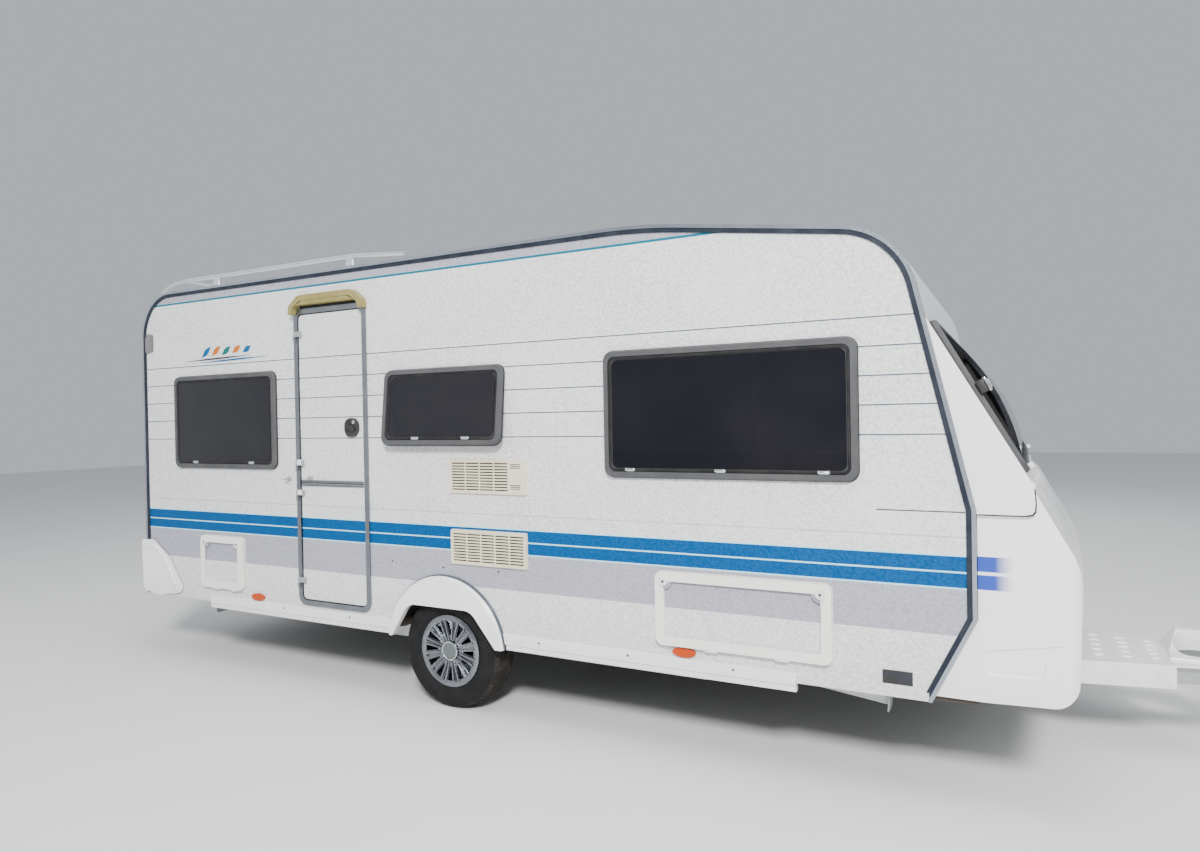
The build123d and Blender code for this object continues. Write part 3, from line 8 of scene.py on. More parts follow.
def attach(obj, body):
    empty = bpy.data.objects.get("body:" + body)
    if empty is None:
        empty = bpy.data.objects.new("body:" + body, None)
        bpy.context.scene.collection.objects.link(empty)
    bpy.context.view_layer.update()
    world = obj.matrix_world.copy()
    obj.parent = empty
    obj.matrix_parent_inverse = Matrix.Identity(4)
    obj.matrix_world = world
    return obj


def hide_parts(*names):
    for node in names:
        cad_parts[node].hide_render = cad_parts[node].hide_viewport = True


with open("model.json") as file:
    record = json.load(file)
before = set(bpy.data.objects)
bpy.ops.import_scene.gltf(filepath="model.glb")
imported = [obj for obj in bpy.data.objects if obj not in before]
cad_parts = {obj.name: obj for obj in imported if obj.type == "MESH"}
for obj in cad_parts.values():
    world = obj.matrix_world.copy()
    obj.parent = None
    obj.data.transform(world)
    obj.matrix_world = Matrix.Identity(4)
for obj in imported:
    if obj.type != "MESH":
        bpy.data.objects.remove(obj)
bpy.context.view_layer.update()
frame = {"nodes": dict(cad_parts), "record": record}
cadNodes = frame["nodes"]
print("frame loaded:", len(cadNodes), "nodes")

axleX, axleZ = -0.767, 0.315  # middle of the wheels
sideY, wheelY, doorY = -1.150, -1.030, -1.152  # outside of the right wall, middle of its tyre, face of the door


def ahead(millimetres):
    return axleX + millimetres / 1000  # x of a place this far ahead of the axle


doorX = ahead(-823.5)  # middle of the door
flapPlaces = {"service": (1655.5, 0.685), "toilet": (-1804, 0.683)}  # middles, ahead of the axle and up
bothSides = ((-1, "right"), (1, "left"))


# Helpers for the node trees of the finishes

def newFinish(name, colour, roughness, metallic=0.0, shine=0.5):
    finish = bpy.data.materials.new(name)
    finish.use_nodes = True
    nodes = finish.node_tree.nodes
    shader = nodes["Principled BSDF"]
    shader.inputs["Base Color"].default_value = (*colour, 1)
    shader.inputs["Roughness"].default_value = roughness
    shader.inputs["Metallic"].default_value = metallic
    shader.inputs["Specular IOR Level"].default_value = shine
    return finish, shader, nodes.new("ShaderNodeTexCoord").outputs["Object"]


def nodeBy(socket, kind):
    return socket.id_data.nodes.new(kind)  # a new node in the tree that holds the socket


def linked(output, entry):
    output.id_data.links.new(output, entry)


def noiseOn(place, scale, detail):
    noise = nodeBy(place, "ShaderNodeTexNoise")
    for name, amount in (("Scale", scale), ("Detail", detail), ("Roughness", 0.5)):
        noise.inputs[name].default_value = amount
    linked(place, noise.inputs["Vector"])
    return noise.outputs["Fac"]


def stretched(place, x, y, z):
    mapping = nodeBy(place, "ShaderNodeMapping")
    mapping.inputs["Scale"].default_value = (x, y, z)
    linked(place, mapping.inputs["Vector"])
    return mapping.outputs["Vector"]


def ramp(value, low, high, lowValue=0.0, highValue=1.0):
    node = nodeBy(value, "ShaderNodeMapRange")
    for name, amount in (("From Min", low), ("From Max", high), ("To Min", lowValue), ("To Max", highValue)):
        node.inputs[name].default_value = amount
    linked(value, node.inputs["Value"])
    return node.outputs["Result"]


def calculate(operation, *values):
    numbers = (int, float)
    node = nodeBy([value for value in values if not isinstance(value, numbers)][0], "ShaderNodeMath")
    node.operation = operation
    for entry, value in zip(node.inputs, values):
        if isinstance(value, numbers):
            entry.default_value = value
        else:
            linked(value, entry)
    return node.outputs[0]


def mixed(amount, under, over):
    node = nodeBy(amount, "ShaderNodeMix")
    node.data_type = "RGBA"
    linked(amount, node.inputs["Factor"])
    for name, colour in (("A", under), ("B", over)):
        socket = [s for s in node.inputs if s.name == name and s.type == "RGBA"][0]
        if isinstance(colour, tuple):
            socket.default_value = (*colour, 1)
        else:
            linked(colour, socket)
    return [s for s in node.outputs if s.type == "RGBA"][0]


def bumpOn(shader, height, strength, distance):
    bump = nodeBy(height, "ShaderNodeBump")
    bump.inputs["Strength"].default_value = strength
    bump.inputs["Distance"].default_value = distance
    linked(height, bump.inputs["Height"])
    linked(bump.outputs["Normal"], shader.inputs["Normal"])


def times(first, second):
    return calculate("MULTIPLY", first, second)


def band(height, low, high):
    return calculate("COMPARE", height, (low + high) / 2, (high - low) / 2)


def stripe(height, middle, half):
    return band(height, middle - half, middle + half)


def patch(x, z, fromX, toX, fromZ, toZ):
    return times(band(x, fromX, toX), band(z, fromZ, toZ))


def clouds(place, scale, detail, most):
    return ramp(noiseOn(place, scale, detail), 0.35, 0.75, 0.0, most)


def split(place):
    node = nodeBy(place, "ShaderNodeSeparateXYZ")
    linked(place, node.inputs["Vector"])
    return node.outputs


def radiusFrom(place, centreZ):
    point = split(place)
    across, up = calculate("SUBTRACT", point[0], axleX), calculate("SUBTRACT", point[2], centreZ)
    return calculate("SQRT", calculate("ADD", times(across, across), times(up, up)))


def surface(shader, tint, rough, height, strength, depth):
    linked(tint, shader.inputs["Base Color"])
    linked(rough, shader.inputs["Roughness"])
    bumpOn(shader, height, strength, depth)


# Hammered sheet of the walls and the door, with its printed bands and pressed lines, painted shade in its
# hammered dents, and painted shade and highlight along the pressed lines
sheetLook = {
    "white": (0.84, 0.84, 0.84), "shade": (0.48, 0.49, 0.51), "worn": (0.80, 0.795, 0.775),
    "grey": (0.42, 0.415, 0.47), "greyShade": (0.30, 0.30, 0.35), "dirt": (0.50, 0.48, 0.42),
    "blue": (0.0, 0.088, 0.275), "blueShade": (0.0, 0.056, 0.195), "pale": (0.42, 0.76, 0.90),
    "line": (0.085, 0.11, 0.15), "lineHighlight": (0.90, 0.90, 0.90), "teal": (0.0, 0.14, 0.22),
    "lining": (0.045, 0.030, 0.022), "doorLining": (0.50, 0.48, 0.43), "insideY": 1.140,
    "hinge": (0.30, 0.31, 0.32), "hingeY": -1.156,
    "lines": (1.9605, 1.8416, 1.7217, 1.6017, 1.480), "lineHalf": 0.0030, "edge": (0.003, 0.0075),
    "blueBand": (0.875, 1.004), "greyBand": (0.688, 0.875), "midLine": 0.9385, "paleHalf": 0.0036,
    "upperLine": 2.388, "upperHalf": 0.006, "faintLine": 1.076, "faintHalf": 0.002, "splashed": (0.40, 0.62),
    "cellSize": 88, "grain": 150, "bump": 0.9, "bumpDepth": 0.0030, "shine": 0.16,
}


def hammeredSheet(name, fields=(), plastic=None, lining=sheetLook["lining"]):
    # fields: x from, x to, z from, z to of the parts of a flap that are sheet, plastic elsewhere
    look = sheetLook
    finish, shader, place = newFinish(name, look["white"], 0.42, shine=look["shine"])
    x, y, z = split(place)
    cells = nodeBy(place, "ShaderNodeTexVoronoi")
    cells.feature = "SMOOTH_F1"
    cells.inputs["Scale"].default_value = look["cellSize"]
    linked(place, cells.inputs["Vector"])
    fine = noiseOn(place, look["grain"], 2)
    relief = calculate("ADD", cells.outputs["Distance"], times(fine, 0.6))
    # Painted shade: the sheet, and its grey and blue bands, are coloured darker following the hammered relief
    dentShade = ramp(relief, 0.35, 0.95, 0.0, 0.75)
    cloudy = clouds(place, 2.3, 3, 0.35)
    grimeAndShade = ramp(z, *look["splashed"], 0.5, 0.0)
    streaks = noiseOn(stretched(place, 9, 9, 0.7), 3, 4)
    dirt = times(ramp(streaks, 0.5, 0.8, 0.0, 0.6), 0.25)
    colour = mixed(dentShade, look["white"], look["shade"])
    colour = mixed(cloudy, colour, look["worn"])
    colour = mixed(dirt, colour, look["dirt"])
    colour = mixed(times(grimeAndShade, noiseOn(place, 14, 4)), colour, look["dirt"])
    fade = mixed(dentShade, look["grey"], look["greyShade"])
    deepBlue = mixed(dentShade, look["blue"], look["blueShade"])
    colour = mixed(band(z, *look["greyBand"]), colour, fade)
    colour = mixed(band(z, *look["blueBand"]), colour, deepBlue)
    for level in (look["midLine"], *look["blueBand"]):
        colour = mixed(stripe(z, level, look["paleHalf"]), colour, look["pale"])
    # Painted shade and highlight: each pressed line is a dark line of painted shade with a pale band of painted
    # highlight just above it
    for level in look["lines"]:
        edge = band(z, *(level + rise for rise in look["edge"]))
        colour = mixed(times(edge, 0.6), colour, look["lineHighlight"])
        colour = mixed(stripe(z, level, look["lineHalf"]), colour, look["line"])
    faint = times(stripe(z, look["faintLine"], look["faintHalf"]), 0.45)
    colour = mixed(faint, colour, look["line"])
    colour = mixed(calculate("GREATER_THAN", z, look["upperLine"]), colour, fade)
    colour = mixed(stripe(z, look["upperLine"], look["upperHalf"]), colour, look["teal"])
    within = calculate("LESS_THAN", calculate("ABSOLUTE", y), look["insideY"])
    if fields:
        sheetPart = 0.0
        for field in fields:
            sheetPart = calculate("MAXIMUM", patch(x, z, *field), sheetPart)
        aged = mixed(cloudy, plastic, tuple(c * 0.93 for c in plastic))
        colour = mixed(sheetPart, aged, colour)
        relief = times(relief, sheetPart)
    else:
        colour = mixed(within, colour, lining)
        colour = mixed(calculate("LESS_THAN", y, look["hingeY"]), colour, look["hinge"])
        relief = times(relief, calculate("SUBTRACT", 1.0, within))
    rough = ramp(noiseOn(place, 30, 3), 0.3, 0.8, 0.36, 0.55)
    surface(shader, colour, rough, relief, look["bump"], look["bumpDepth"])
    return finish


# Smooth glossy moulding, yellowing a little and splashed near the ground
gelcoatLook = {"white": (0.90, 0.90, 0.905), "aged": (0.86, 0.86, 0.84), "splash": (0.46, 0.44, 0.38),
               "splashed": (0.36, 0.56), "lining": (0.075, 0.055, 0.042), "roughness": 0.22, "coat": 0.5}


def gelcoat(name, roughness=gelcoatLook["roughness"], lined=None):
    # lined: a way (x, y or z) and its sign; faces that look that way are the dark inner lining
    look = gelcoatLook
    finish, shader, place = newFinish(name, look["white"], roughness)
    x, y, z = split(place)
    tint = mixed(clouds(place, 1.6, 4, 0.6), look["white"], look["aged"])
    streaks = ramp(noiseOn(stretched(place, 12, 12, 0.8), 2.2, 5), 0.5, 0.85, 0.0, 0.30)
    tint = mixed(streaks, tint, tuple(c * 0.85 for c in look["aged"]))
    splash = times(ramp(z, *look["splashed"], 0.6, 0.0), noiseOn(place, 22, 5))
    tint = mixed(splash, tint, look["splash"])
    if lined:
        facing = split(nodeBy(place, "ShaderNodeNewGeometry").outputs["Normal"])["xyz".index(lined[0])]
        inner = calculate("GREATER_THAN", times(facing, lined[1]), 0.05)
        tint = mixed(inner, tint, look["lining"])
    rough = ramp(noiseOn(place, 5, 4), 0.3, 0.7, roughness, roughness + 0.12)
    surface(shader, tint, rough, noiseOn(place, 240, 2), 0.10, 0.0004)
    shader.inputs["Coat Weight"].default_value = look["coat"]
    shader.inputs["Coat Roughness"].default_value = 0.10
    return finish, shader, place, tint


# The wheel arch's white moulding is coloured grey-blue along its outer edge as painted shade
archEdgeShade = {"centreZ": 0.340, "from": 0.3915, "grey": (0.10, 0.115, 0.14)}


def edgeShadedGelcoat(name):
    finish, shader, place, tint = gelcoat(name)
    # Painted shade: beyond this radius the moulding turns grey-blue
    lip = calculate("GREATER_THAN", radiusFrom(place, archEdgeShade["centreZ"]), archEdgeShade["from"])
    linked(mixed(lip, tint, archEdgeShade["grey"]), shader.inputs["Base Color"])
    return finish


# The gas locker carries the two blue bars on, fading out towards the front
noseBars = {"blue": (0.0, 0.045, 0.40), "upper": (0.945, 1.004), "lower": (0.875, 0.932),
            "solid": 2670, "gone": 2735, "flankY": 1.05}


def barredGelcoat(name):
    finish, shader, place, tint = gelcoat(name)
    x, y, z = split(place)
    fade = ramp(x, ahead(noseBars["solid"]), ahead(noseBars["gone"]), 1.0, 0.0)
    bars = calculate("ADD", band(z, *noseBars["upper"]), band(z, *noseBars["lower"]))
    flank = calculate("GREATER_THAN", calculate("ABSOLUTE", y), noseBars["flankY"])
    amount = times(times(bars, fade), flank)
    linked(mixed(amount, tint, noseBars["blue"]), shader.inputs["Base Color"])
    return finish


# Fine grain that all moulded plastics share
plasticGrain = {"size": 420, "strength": 0.22, "depth": 0.0005}


def mouldedPlastic(name, colour, worn, roughness, shine=0.35):
    finish, shader, place = newFinish(name, colour, roughness, shine=shine)
    rough = ramp(noiseOn(place, 26, 4), 0.3, 0.75, roughness - 0.07, roughness + 0.12)
    surface(shader, mixed(clouds(place, 9, 5, 0.7), colour, worn), rough,
            noiseOn(place, plasticGrain["size"], 2), plasticGrain["strength"], plasticGrain["depth"])
    return finish


# Vent plastic, with painted shade inside the slots of the two grilles and on six slots drawn as dark lines on the
# panel; each grille: middle x and z, half width and height
louvre = {"cream": (0.74, 0.69, 0.52), "aged": (0.64, 0.58, 0.42), "grimeAndShade": (0.030, 0.026, 0.016),
          "slotY": -1.1588, "rim": 0.008,
          "grilles": ((ahead(295.5), 1.2725, 0.240, 0.086), (ahead(295.5), 0.8945, 0.238, 0.087)),
          "panelX": (ahead(447), ahead(508)), "slotHalf": 0.0022,
          "panelSlots": (1.338, 1.329, 1.320, 1.231, 1.222, 1.213)}


def louvrePlastic(name):
    finish, shader, place = newFinish(name, louvre["cream"], 0.42)
    x, y, z = split(place)
    rim, inside = louvre["rim"], 0.0
    for middleX, middleZ, wide, tall in louvre["grilles"]:
        field = patch(x, z, middleX - wide + rim, middleX + wide - rim, middleZ - tall + rim,
                      middleZ + tall - rim)
        inside = calculate("MAXIMUM", field, inside)
    # Painted shade: faces set back behind the grille face, and the six panel slots, are coloured near black
    deep = times(calculate("GREATER_THAN", y, louvre["slotY"]), inside)
    tint = mixed(clouds(place, 9, 5, 0.7), louvre["cream"], louvre["aged"])
    for level in louvre["panelSlots"]:
        slot = times(band(x, *louvre["panelX"]), stripe(z, level, louvre["slotHalf"]))
        deep = calculate("MAXIMUM", deep, slot)
    surface(shader, mixed(deep, tint, louvre["grimeAndShade"]),
            ramp(noiseOn(place, 26, 4), 0.3, 0.75, 0.35, 0.54),
            noiseOn(place, plasticGrain["size"], 2), plasticGrain["strength"], plasticGrain["depth"])
    return finish


def bareMetal(name, colour, dull, roughness, grain=(40, 40, 40)):
    finish, shader, place = newFinish(name, colour, roughness, 1.0)
    drawn = noiseOn(stretched(place, *grain), 6, 4)
    tint = mixed(ramp(noiseOn(place, 11, 5), 0.3, 0.75, 0.0, 0.8), colour, dull)
    rough = ramp(drawn, 0.25, 0.8, roughness - 0.08, roughness + 0.14)
    surface(shader, tint, rough, drawn, 0.12, 0.0004)
    return finish


zincLook = {"base": (0.50, 0.52, 0.53), "light": (0.54, 0.56, 0.57), "dark": (0.40, 0.42, 0.43),
            "stain": (0.27, 0.23, 0.19), "spangle": 70}


def zincCoated(name):
    finish, shader, place = newFinish(name, zincLook["base"], 0.48, 0.85)
    spangle = nodeBy(place, "ShaderNodeTexVoronoi")
    spangle.inputs["Scale"].default_value = zincLook["spangle"]
    linked(place, spangle.inputs["Vector"])
    tone = ramp(spangle.outputs["Color"], 0.0, 1.0, 0.0, 0.6)
    tint = mixed(tone, zincLook["light"], zincLook["dark"])
    stain = ramp(noiseOn(place, 7, 6), 0.55, 0.8, 0.0, 0.6)
    surface(shader, mixed(stain, tint, zincLook["stain"]),
            ramp(noiseOn(place, 20, 4), 0.3, 0.8, 0.38, 0.66),
            noiseOn(place, 130, 3), 0.16, 0.0006)
    return finish


# Smoked acrylic: dark and glossy, the far windows show through faintly
paneLook = {"smoke": (0.008, 0.008, 0.012), "haze": (0.018, 0.017, 0.020), "cover": 0.82, "shine": 0.30}


def tintedPane(name):
    finish, shader, place = newFinish(name, paneLook["smoke"], 0.04, shine=paneLook["shine"])
    dust = ramp(noiseOn(place, 4, 1), 0.45, 0.8, 0.02, 0.06)
    linked(dust, shader.inputs["Roughness"])
    shader.inputs["Alpha"].default_value = paneLook["cover"]
    hazy = ramp(noiseOn(place, 3, 3), 0.4, 0.7, 0.0, 0.5)
    linked(mixed(hazy, paneLook["smoke"], paneLook["haze"]), shader.inputs["Base Color"])
    return finish


def rubberLike(name, colour, dusty, roughness):
    finish, shader, place = newFinish(name, colour, roughness, shine=0.22)
    tint = mixed(ramp(noiseOn(place, 13, 6), 0.4, 0.75, 0.0, 0.75), colour, dusty)
    rough = ramp(noiseOn(place, 40, 3), 0.3, 0.8, roughness - 0.1, roughness + 0.1)
    surface(shader, tint, rough, noiseOn(place, 300, 3), 0.25, 0.0006)
    return finish


# Tyre rubber by its distance from the wheel's middle: dark flank with fine rings, dusty tread
tyreLook = {"flank": (0.011, 0.011, 0.0115), "tread": (0.024, 0.022, 0.020), "dust": (0.050, 0.045, 0.037),
            "rings": 520, "worn": (0.292, 0.306), "shine": 0.12}


def tyreRubber(name):
    finish, shader, place = newFinish(name, tyreLook["flank"], 0.8, shine=tyreLook["shine"])
    radius = radiusFrom(place, axleZ)
    patchy = ramp(noiseOn(place, 18, 6), 0.4, 0.7)
    tint = mixed(patchy, tyreLook["flank"], tuple(c * 1.7 for c in tyreLook["flank"]))
    dusty = mixed(patchy, tyreLook["tread"], tyreLook["dust"])
    tint = mixed(ramp(radius, *tyreLook["worn"]), tint, dusty)
    rings = calculate("SINE", times(radius, tyreLook["rings"]))
    relief = calculate("ADD", times(rings, 0.5), noiseOn(place, 320, 3))
    surface(shader, tint, ramp(patchy, 0.0, 1.0, 0.68, 0.92), relief, 0.3, 0.0008)
    return finish


def lampLens(name, colour, deep):
    finish, shader, place = newFinish(name, colour, 0.12, shine=0.3)
    ribs = nodeBy(place, "ShaderNodeTexWave")
    ribs.inputs["Scale"].default_value = 55
    linked(place, ribs.inputs["Vector"])
    tint = mixed(ramp(ribs.outputs["Fac"], 0.2, 0.9, 0.0, 0.8), colour, deep)
    linked(tint, shader.inputs["Base Color"])
    bumpOn(shader, ribs.outputs["Fac"], 0.35, 0.0012)
    return finish


woodLook = {"base": (0.16, 0.12, 0.08), "dark": (0.030, 0.024, 0.019), "light": (0.060, 0.047, 0.036)}


def boardWood(name):
    finish, shader, place = newFinish(name, woodLook["base"], 0.7)
    rings = noiseOn(stretched(place, 2, 26, 26), 4, 6)
    tint = mixed(ramp(rings, 0.35, 0.7, 0.0, 1.0), woodLook["dark"], woodLook["light"])
    surface(shader, tint, ramp(rings, 0.2, 0.8, 0.6, 0.85), rings, 0.3, 0.0008)
    return finish


fieldHalves = {"service": (357, 0.126), "toilet": (158, 0.1245)}  # half width and height of a flap's sheet
flapFields = []
for name, (distance, z) in flapPlaces.items():
    wide, tall = fieldHalves[name]
    flapFields.append((ahead(distance - wide), ahead(distance + wide), z - tall, z + tall))

# Finishes that several pieces share
mouldingFinish = gelcoat("gelcoat")[0]
hoodFinish = mouldedPlastic("hoodPlastic", (0.29, 0.245, 0.095), (0.20, 0.165, 0.055), 0.46, 0.15)
axleFinish = mouldedPlastic("axlePaint", (0.045, 0.047, 0.05), (0.11, 0.10, 0.085), 0.6)
blackFinish = mouldedPlastic("blackPlastic", (0.020, 0.020, 0.021), (0.045, 0.044, 0.042), 0.48)
whiteFinish = mouldedPlastic("whitePlastic", (0.80, 0.80, 0.78), (0.73, 0.72, 0.68), 0.40)
plateFinish = mouldedPlastic("plateFilm", (0.78, 0.78, 0.76), (0.70, 0.70, 0.67), 0.45)
capFinish = mouldedPlastic("capPaint", (0.105, 0.125, 0.125), (0.075, 0.088, 0.088), 0.36)
frameFinish = bareMetal("frameAlloy", (0.26, 0.28, 0.31), (0.19, 0.20, 0.22), 0.38)
trimFinish = bareMetal("trimSilver", (0.27, 0.285, 0.31), (0.15, 0.16, 0.175), 0.26, (9, 9, 9))
chromeFinish = bareMetal("brightMetal", (0.78, 0.79, 0.80), (0.66, 0.67, 0.68), 0.16)
zincFinish = zincCoated("zincCoating")
sealAndShadowFinish = rubberLike("sealRubber", (0.012, 0.012, 0.013), (0.035, 0.034, 0.032), 0.55)
tyreFinish = tyreRubber("tyreRubber")
amberFinish = lampLens("amberLens", (0.55, 0.060, 0.0), (0.34, 0.028, 0.0))
redFinish = lampLens("redLens", (0.50, 0.015, 0.012), (0.26, 0.006, 0.006))
clearFinish = lampLens("clearLens", (0.22, 0.215, 0.215), (0.10, 0.098, 0.095))
skyBlueFinish = mouldedPlastic("skyBlueFilm", (0.0, 0.085, 0.24), (0.0, 0.12, 0.28), 0.40, 0.15)
oceanFinish = mouldedPlastic("tealFilm", (0.0, 0.11, 0.11), (0.01, 0.15, 0.13), 0.40, 0.15)
sandFinish = mouldedPlastic("orangeFilm", (0.50, 0.12, 0.005), (0.56, 0.18, 0.01), 0.40, 0.15)
inkFinish = mouldedPlastic("greyFilm", (0.030, 0.032, 0.040), (0.055, 0.056, 0.062), 0.45, 0.15)

# Finish of each slot of the CAD pieces, and of the pieces that differ from their slot
slotFinishes = {
    "wall_sheet": hammeredSheet("hammeredSheet"),
    "door_sheet": hammeredSheet("doorSheet", lining=sheetLook["doorLining"]),
    "flap_plastic": hammeredSheet("flapPlastic", flapFields, (0.84, 0.84, 0.78)),
    "sash_plastic": mouldedPlastic("sashPlastic", (0.060, 0.061, 0.065), (0.092, 0.092, 0.092), 0.50),
    "edge_alloy": bareMetal("edgeAlloy", (0.40, 0.44, 0.50), (0.30, 0.33, 0.37), 0.34),
    "rail_alloy": bareMetal("railAlloy", (0.78, 0.80, 0.81), (0.66, 0.68, 0.69), 0.34),
    "insert_rubber": rubberLike("insertRubber", (0.012, 0.017, 0.028), (0.035, 0.042, 0.055), 0.55),
    "pane": tintedPane("tintedPane"), "floor_board": boardWood("floorBoard"), "tyre": tyreFinish,
    "roof_sheet": mouldingFinish, "moulding": mouldingFinish, "hood_plastic": hoodFinish,
    "frame_alloy": frameFinish, "trim_silver": trimFinish, "galvanised": zincFinish, "axle_steel": axleFinish,
    "coupling_black": axleFinish, "well_plastic": blackFinish, "lock_plastic": blackFinish,
    "grip_plastic": blackFinish, "lamp_amber": amberFinish, "lamp_red": redFinish, "lamp_clear": clearFinish,
}
nodeFinishes = {
    "roof": gelcoat("roofSheet", 0.26, ("z", -1))[0], "wall_rear": gelcoat("rearSheet", 0.30, ("x", 1))[0],
    "wall_front": gelcoat("frontSheet", 0.26, ("x", -1))[0], "nose_box": barredGelcoat("barredGelcoat"),
    "wheel_arches": edgeShadedGelcoat("edgeShadedGelcoat"), "vent_grilles": louvrePlastic("ventPlastic"),
    "flap_frames": mouldedPlastic("flapFramePlastic", (0.80, 0.80, 0.73), (0.74, 0.73, 0.65), 0.38),
    "sills": mouldingFinish,
}
smoothAngle = math.radians(28)
for entry in frame["record"]["subparts"]:
    node = cadNodes[entry["node"]]
    node.data.materials.clear()
    node.data.materials.append(nodeFinishes.get(entry["node"], slotFinishes[entry["material_slot"]]))
    bpy.ops.object.select_all(action="DESELECT")
    node.select_set(True)
    bpy.context.view_layer.objects.active = node
    bpy.ops.object.shade_smooth_by_angle(angle=smoothAngle)
print("finishes set")


# Helpers for modelling: pick parts of a mesh by place, finish a piece, copy it

def objectMode():
    bpy.ops.object.mode_set(mode="OBJECT")


def editMode():
    bpy.ops.object.mode_set(mode="EDIT")


def selectAll():
    bpy.ops.mesh.select_all(action="SELECT")


def deselectAll():
    if bpy.context.object and bpy.context.object.mode != "OBJECT":
        objectMode()
    bpy.ops.object.select_all(action="DESELECT")


def makeActive(piece):
    deselectAll()
    piece.select_set(True)
    bpy.context.view_layer.objects.active = piece


def started(name, finish):
    piece = bpy.context.active_object
    piece.name = piece.data.name = name
    piece.data.materials.append(finish)
    bpy.ops.object.transform_apply(location=True, rotation=True, scale=True)
    return piece


def pick(piece, kind, wanted):
    makeActive(piece)
    editMode()
    bpy.ops.mesh.select_mode(type=kind)
    bpy.ops.mesh.select_all(action="DESELECT")
    objectMode()
    mesh = piece.data
    if kind == "FACE":
        for face in mesh.polygons:
            face.select = bool(wanted(face.center, face.normal))
    elif kind == "EDGE":
        for edge in mesh.edges:
            start, end = (mesh.vertices[index].co for index in edge.vertices)
            edge.select = bool(wanted((start + end) / 2, (end - start).normalized()))
    else:
        for vertex in mesh.vertices:
            vertex.select = bool(wanted(vertex.co))
    editMode()


def push(x=0.0, y=0.0, z=0.0):
    bpy.ops.mesh.extrude_region_move(TRANSFORM_OT_translate={"value": (x, y, z)})


def insetBy(amount):
    bpy.ops.mesh.inset(thickness=amount, depth=0.0)


# Reshapes the faces that look along one axis: each step is an inset, a push or move along it, or a scale
def shapeFace(piece, axis, sign, *steps):
    way = "xyz".index(axis)
    pick(piece, "FACE", lambda centre, normal: sign * normal[way] > 0.95)
    for kind, *amount in steps:
        if kind == "inset":
            insetBy(amount[0])
        elif kind == "push":
            push(**{axis: amount[0]})
        elif kind == "move":
            bpy.ops.transform.translate(value=[amount[0] if number == way else 0.0 for number in range(3)])
        else:
            bpy.ops.transform.resize(value=amount)
    objectMode()


def tidyFaces():
    selectAll()
    bpy.ops.mesh.remove_doubles(threshold=0.00002)
    bpy.ops.mesh.normals_make_consistent(inside=False)


def softenEdges(piece, width, segments=2, angle=35):
    makeActive(piece)
    bevel = piece.modifiers.new("softEdges", "BEVEL")
    bevel.width, bevel.segments, bevel.angle_limit = width, segments, math.radians(angle)
    bevel.limit_method = "ANGLE"
    bpy.ops.object.modifier_apply(modifier="softEdges")


def settle(piece, body="caravan", smooth=32, stands=()):
    makeActive(piece)
    bpy.ops.object.transform_apply(location=True, rotation=True, scale=True)
    bpy.ops.object.shade_smooth_by_angle(angle=math.radians(smooth))
    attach(piece, body)
    if stands:
        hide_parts(*stands)
    return piece


def copied(piece, name, matrix):
    makeActive(piece)
    bpy.ops.object.duplicate()
    twin = bpy.context.active_object
    twin.name = twin.data.name = name
    twin.matrix_world = matrix
    bpy.ops.object.transform_apply(location=True, rotation=True, scale=True)
    if matrix.determinant() < 0:
        editMode()
        selectAll()
        bpy.ops.mesh.normals_make_consistent(inside=False)
        objectMode()
    return twin


def mirrorAcross(piece, name):
    return copied(piece, name, Matrix.Diagonal((1, -1, 1, 1)))


def shifted(x=0.0, y=0.0, z=0.0):
    return Matrix.Translation((x, y, z))


def placed(centre, along, upwards, outwards):
    return Matrix.Translation(centre) @ Matrix((along, upwards, outwards)).transposed().to_4x4()


# A disc whose axis runs along Y, unless it is turned otherwise
def discAt(name, corners, radius, depth, location, finish, turn=(math.radians(90), 0, 0)):
    deselectAll()
    bpy.ops.mesh.primitive_cylinder_add(vertices=corners, radius=radius, depth=depth, location=location,
                                        rotation=turn)
    return started(name, finish)


# Draws a line of points from one vertex, by extruding it along
def drawLine(name, points, finish):
    deselectAll()
    bpy.ops.mesh.primitive_plane_add(size=0.002, location=points[0])
    piece = started(name, finish)
    editMode()
    bpy.ops.mesh.select_mode(type="VERT")  # a lone vertex can't be selected in face mode
    selectAll()
    bpy.ops.mesh.merge(type="CENTER")
    for before, after in zip(points, points[1:]):
        push(*(Vector(after) - Vector(before)))
    return piece


# A profile of (out, radius) turned once round a line through centre, along the Y axis
def turned(name, profile, centre, finish, steps, way=-1):
    points = [(centre[0], centre[1] + way * out, centre[2] + radius) for out, radius in profile]
    piece = drawLine(name, points, finish)
    selectAll()
    bpy.ops.mesh.spin(steps=steps, angle=math.tau, center=centre, axis=(0, 1, 0))
    tidyFaces()
    objectMode()
    return piece


# A strip along a line on a side's face: width is its x and z, proud how far it stands out
def edgeStrip(name, side, look, width, finish, soft, segments):
    piece = drawLine(name, [(ahead(x), side * look["y"], z) for x, z in look["line"]], finish)
    selectAll()
    push(x=width[0], z=width[1])
    selectAll()
    push(y=side * look["proud"])
    tidyFaces()
    objectMode()
    softenEdges(piece, soft, segments, 50)
    return piece


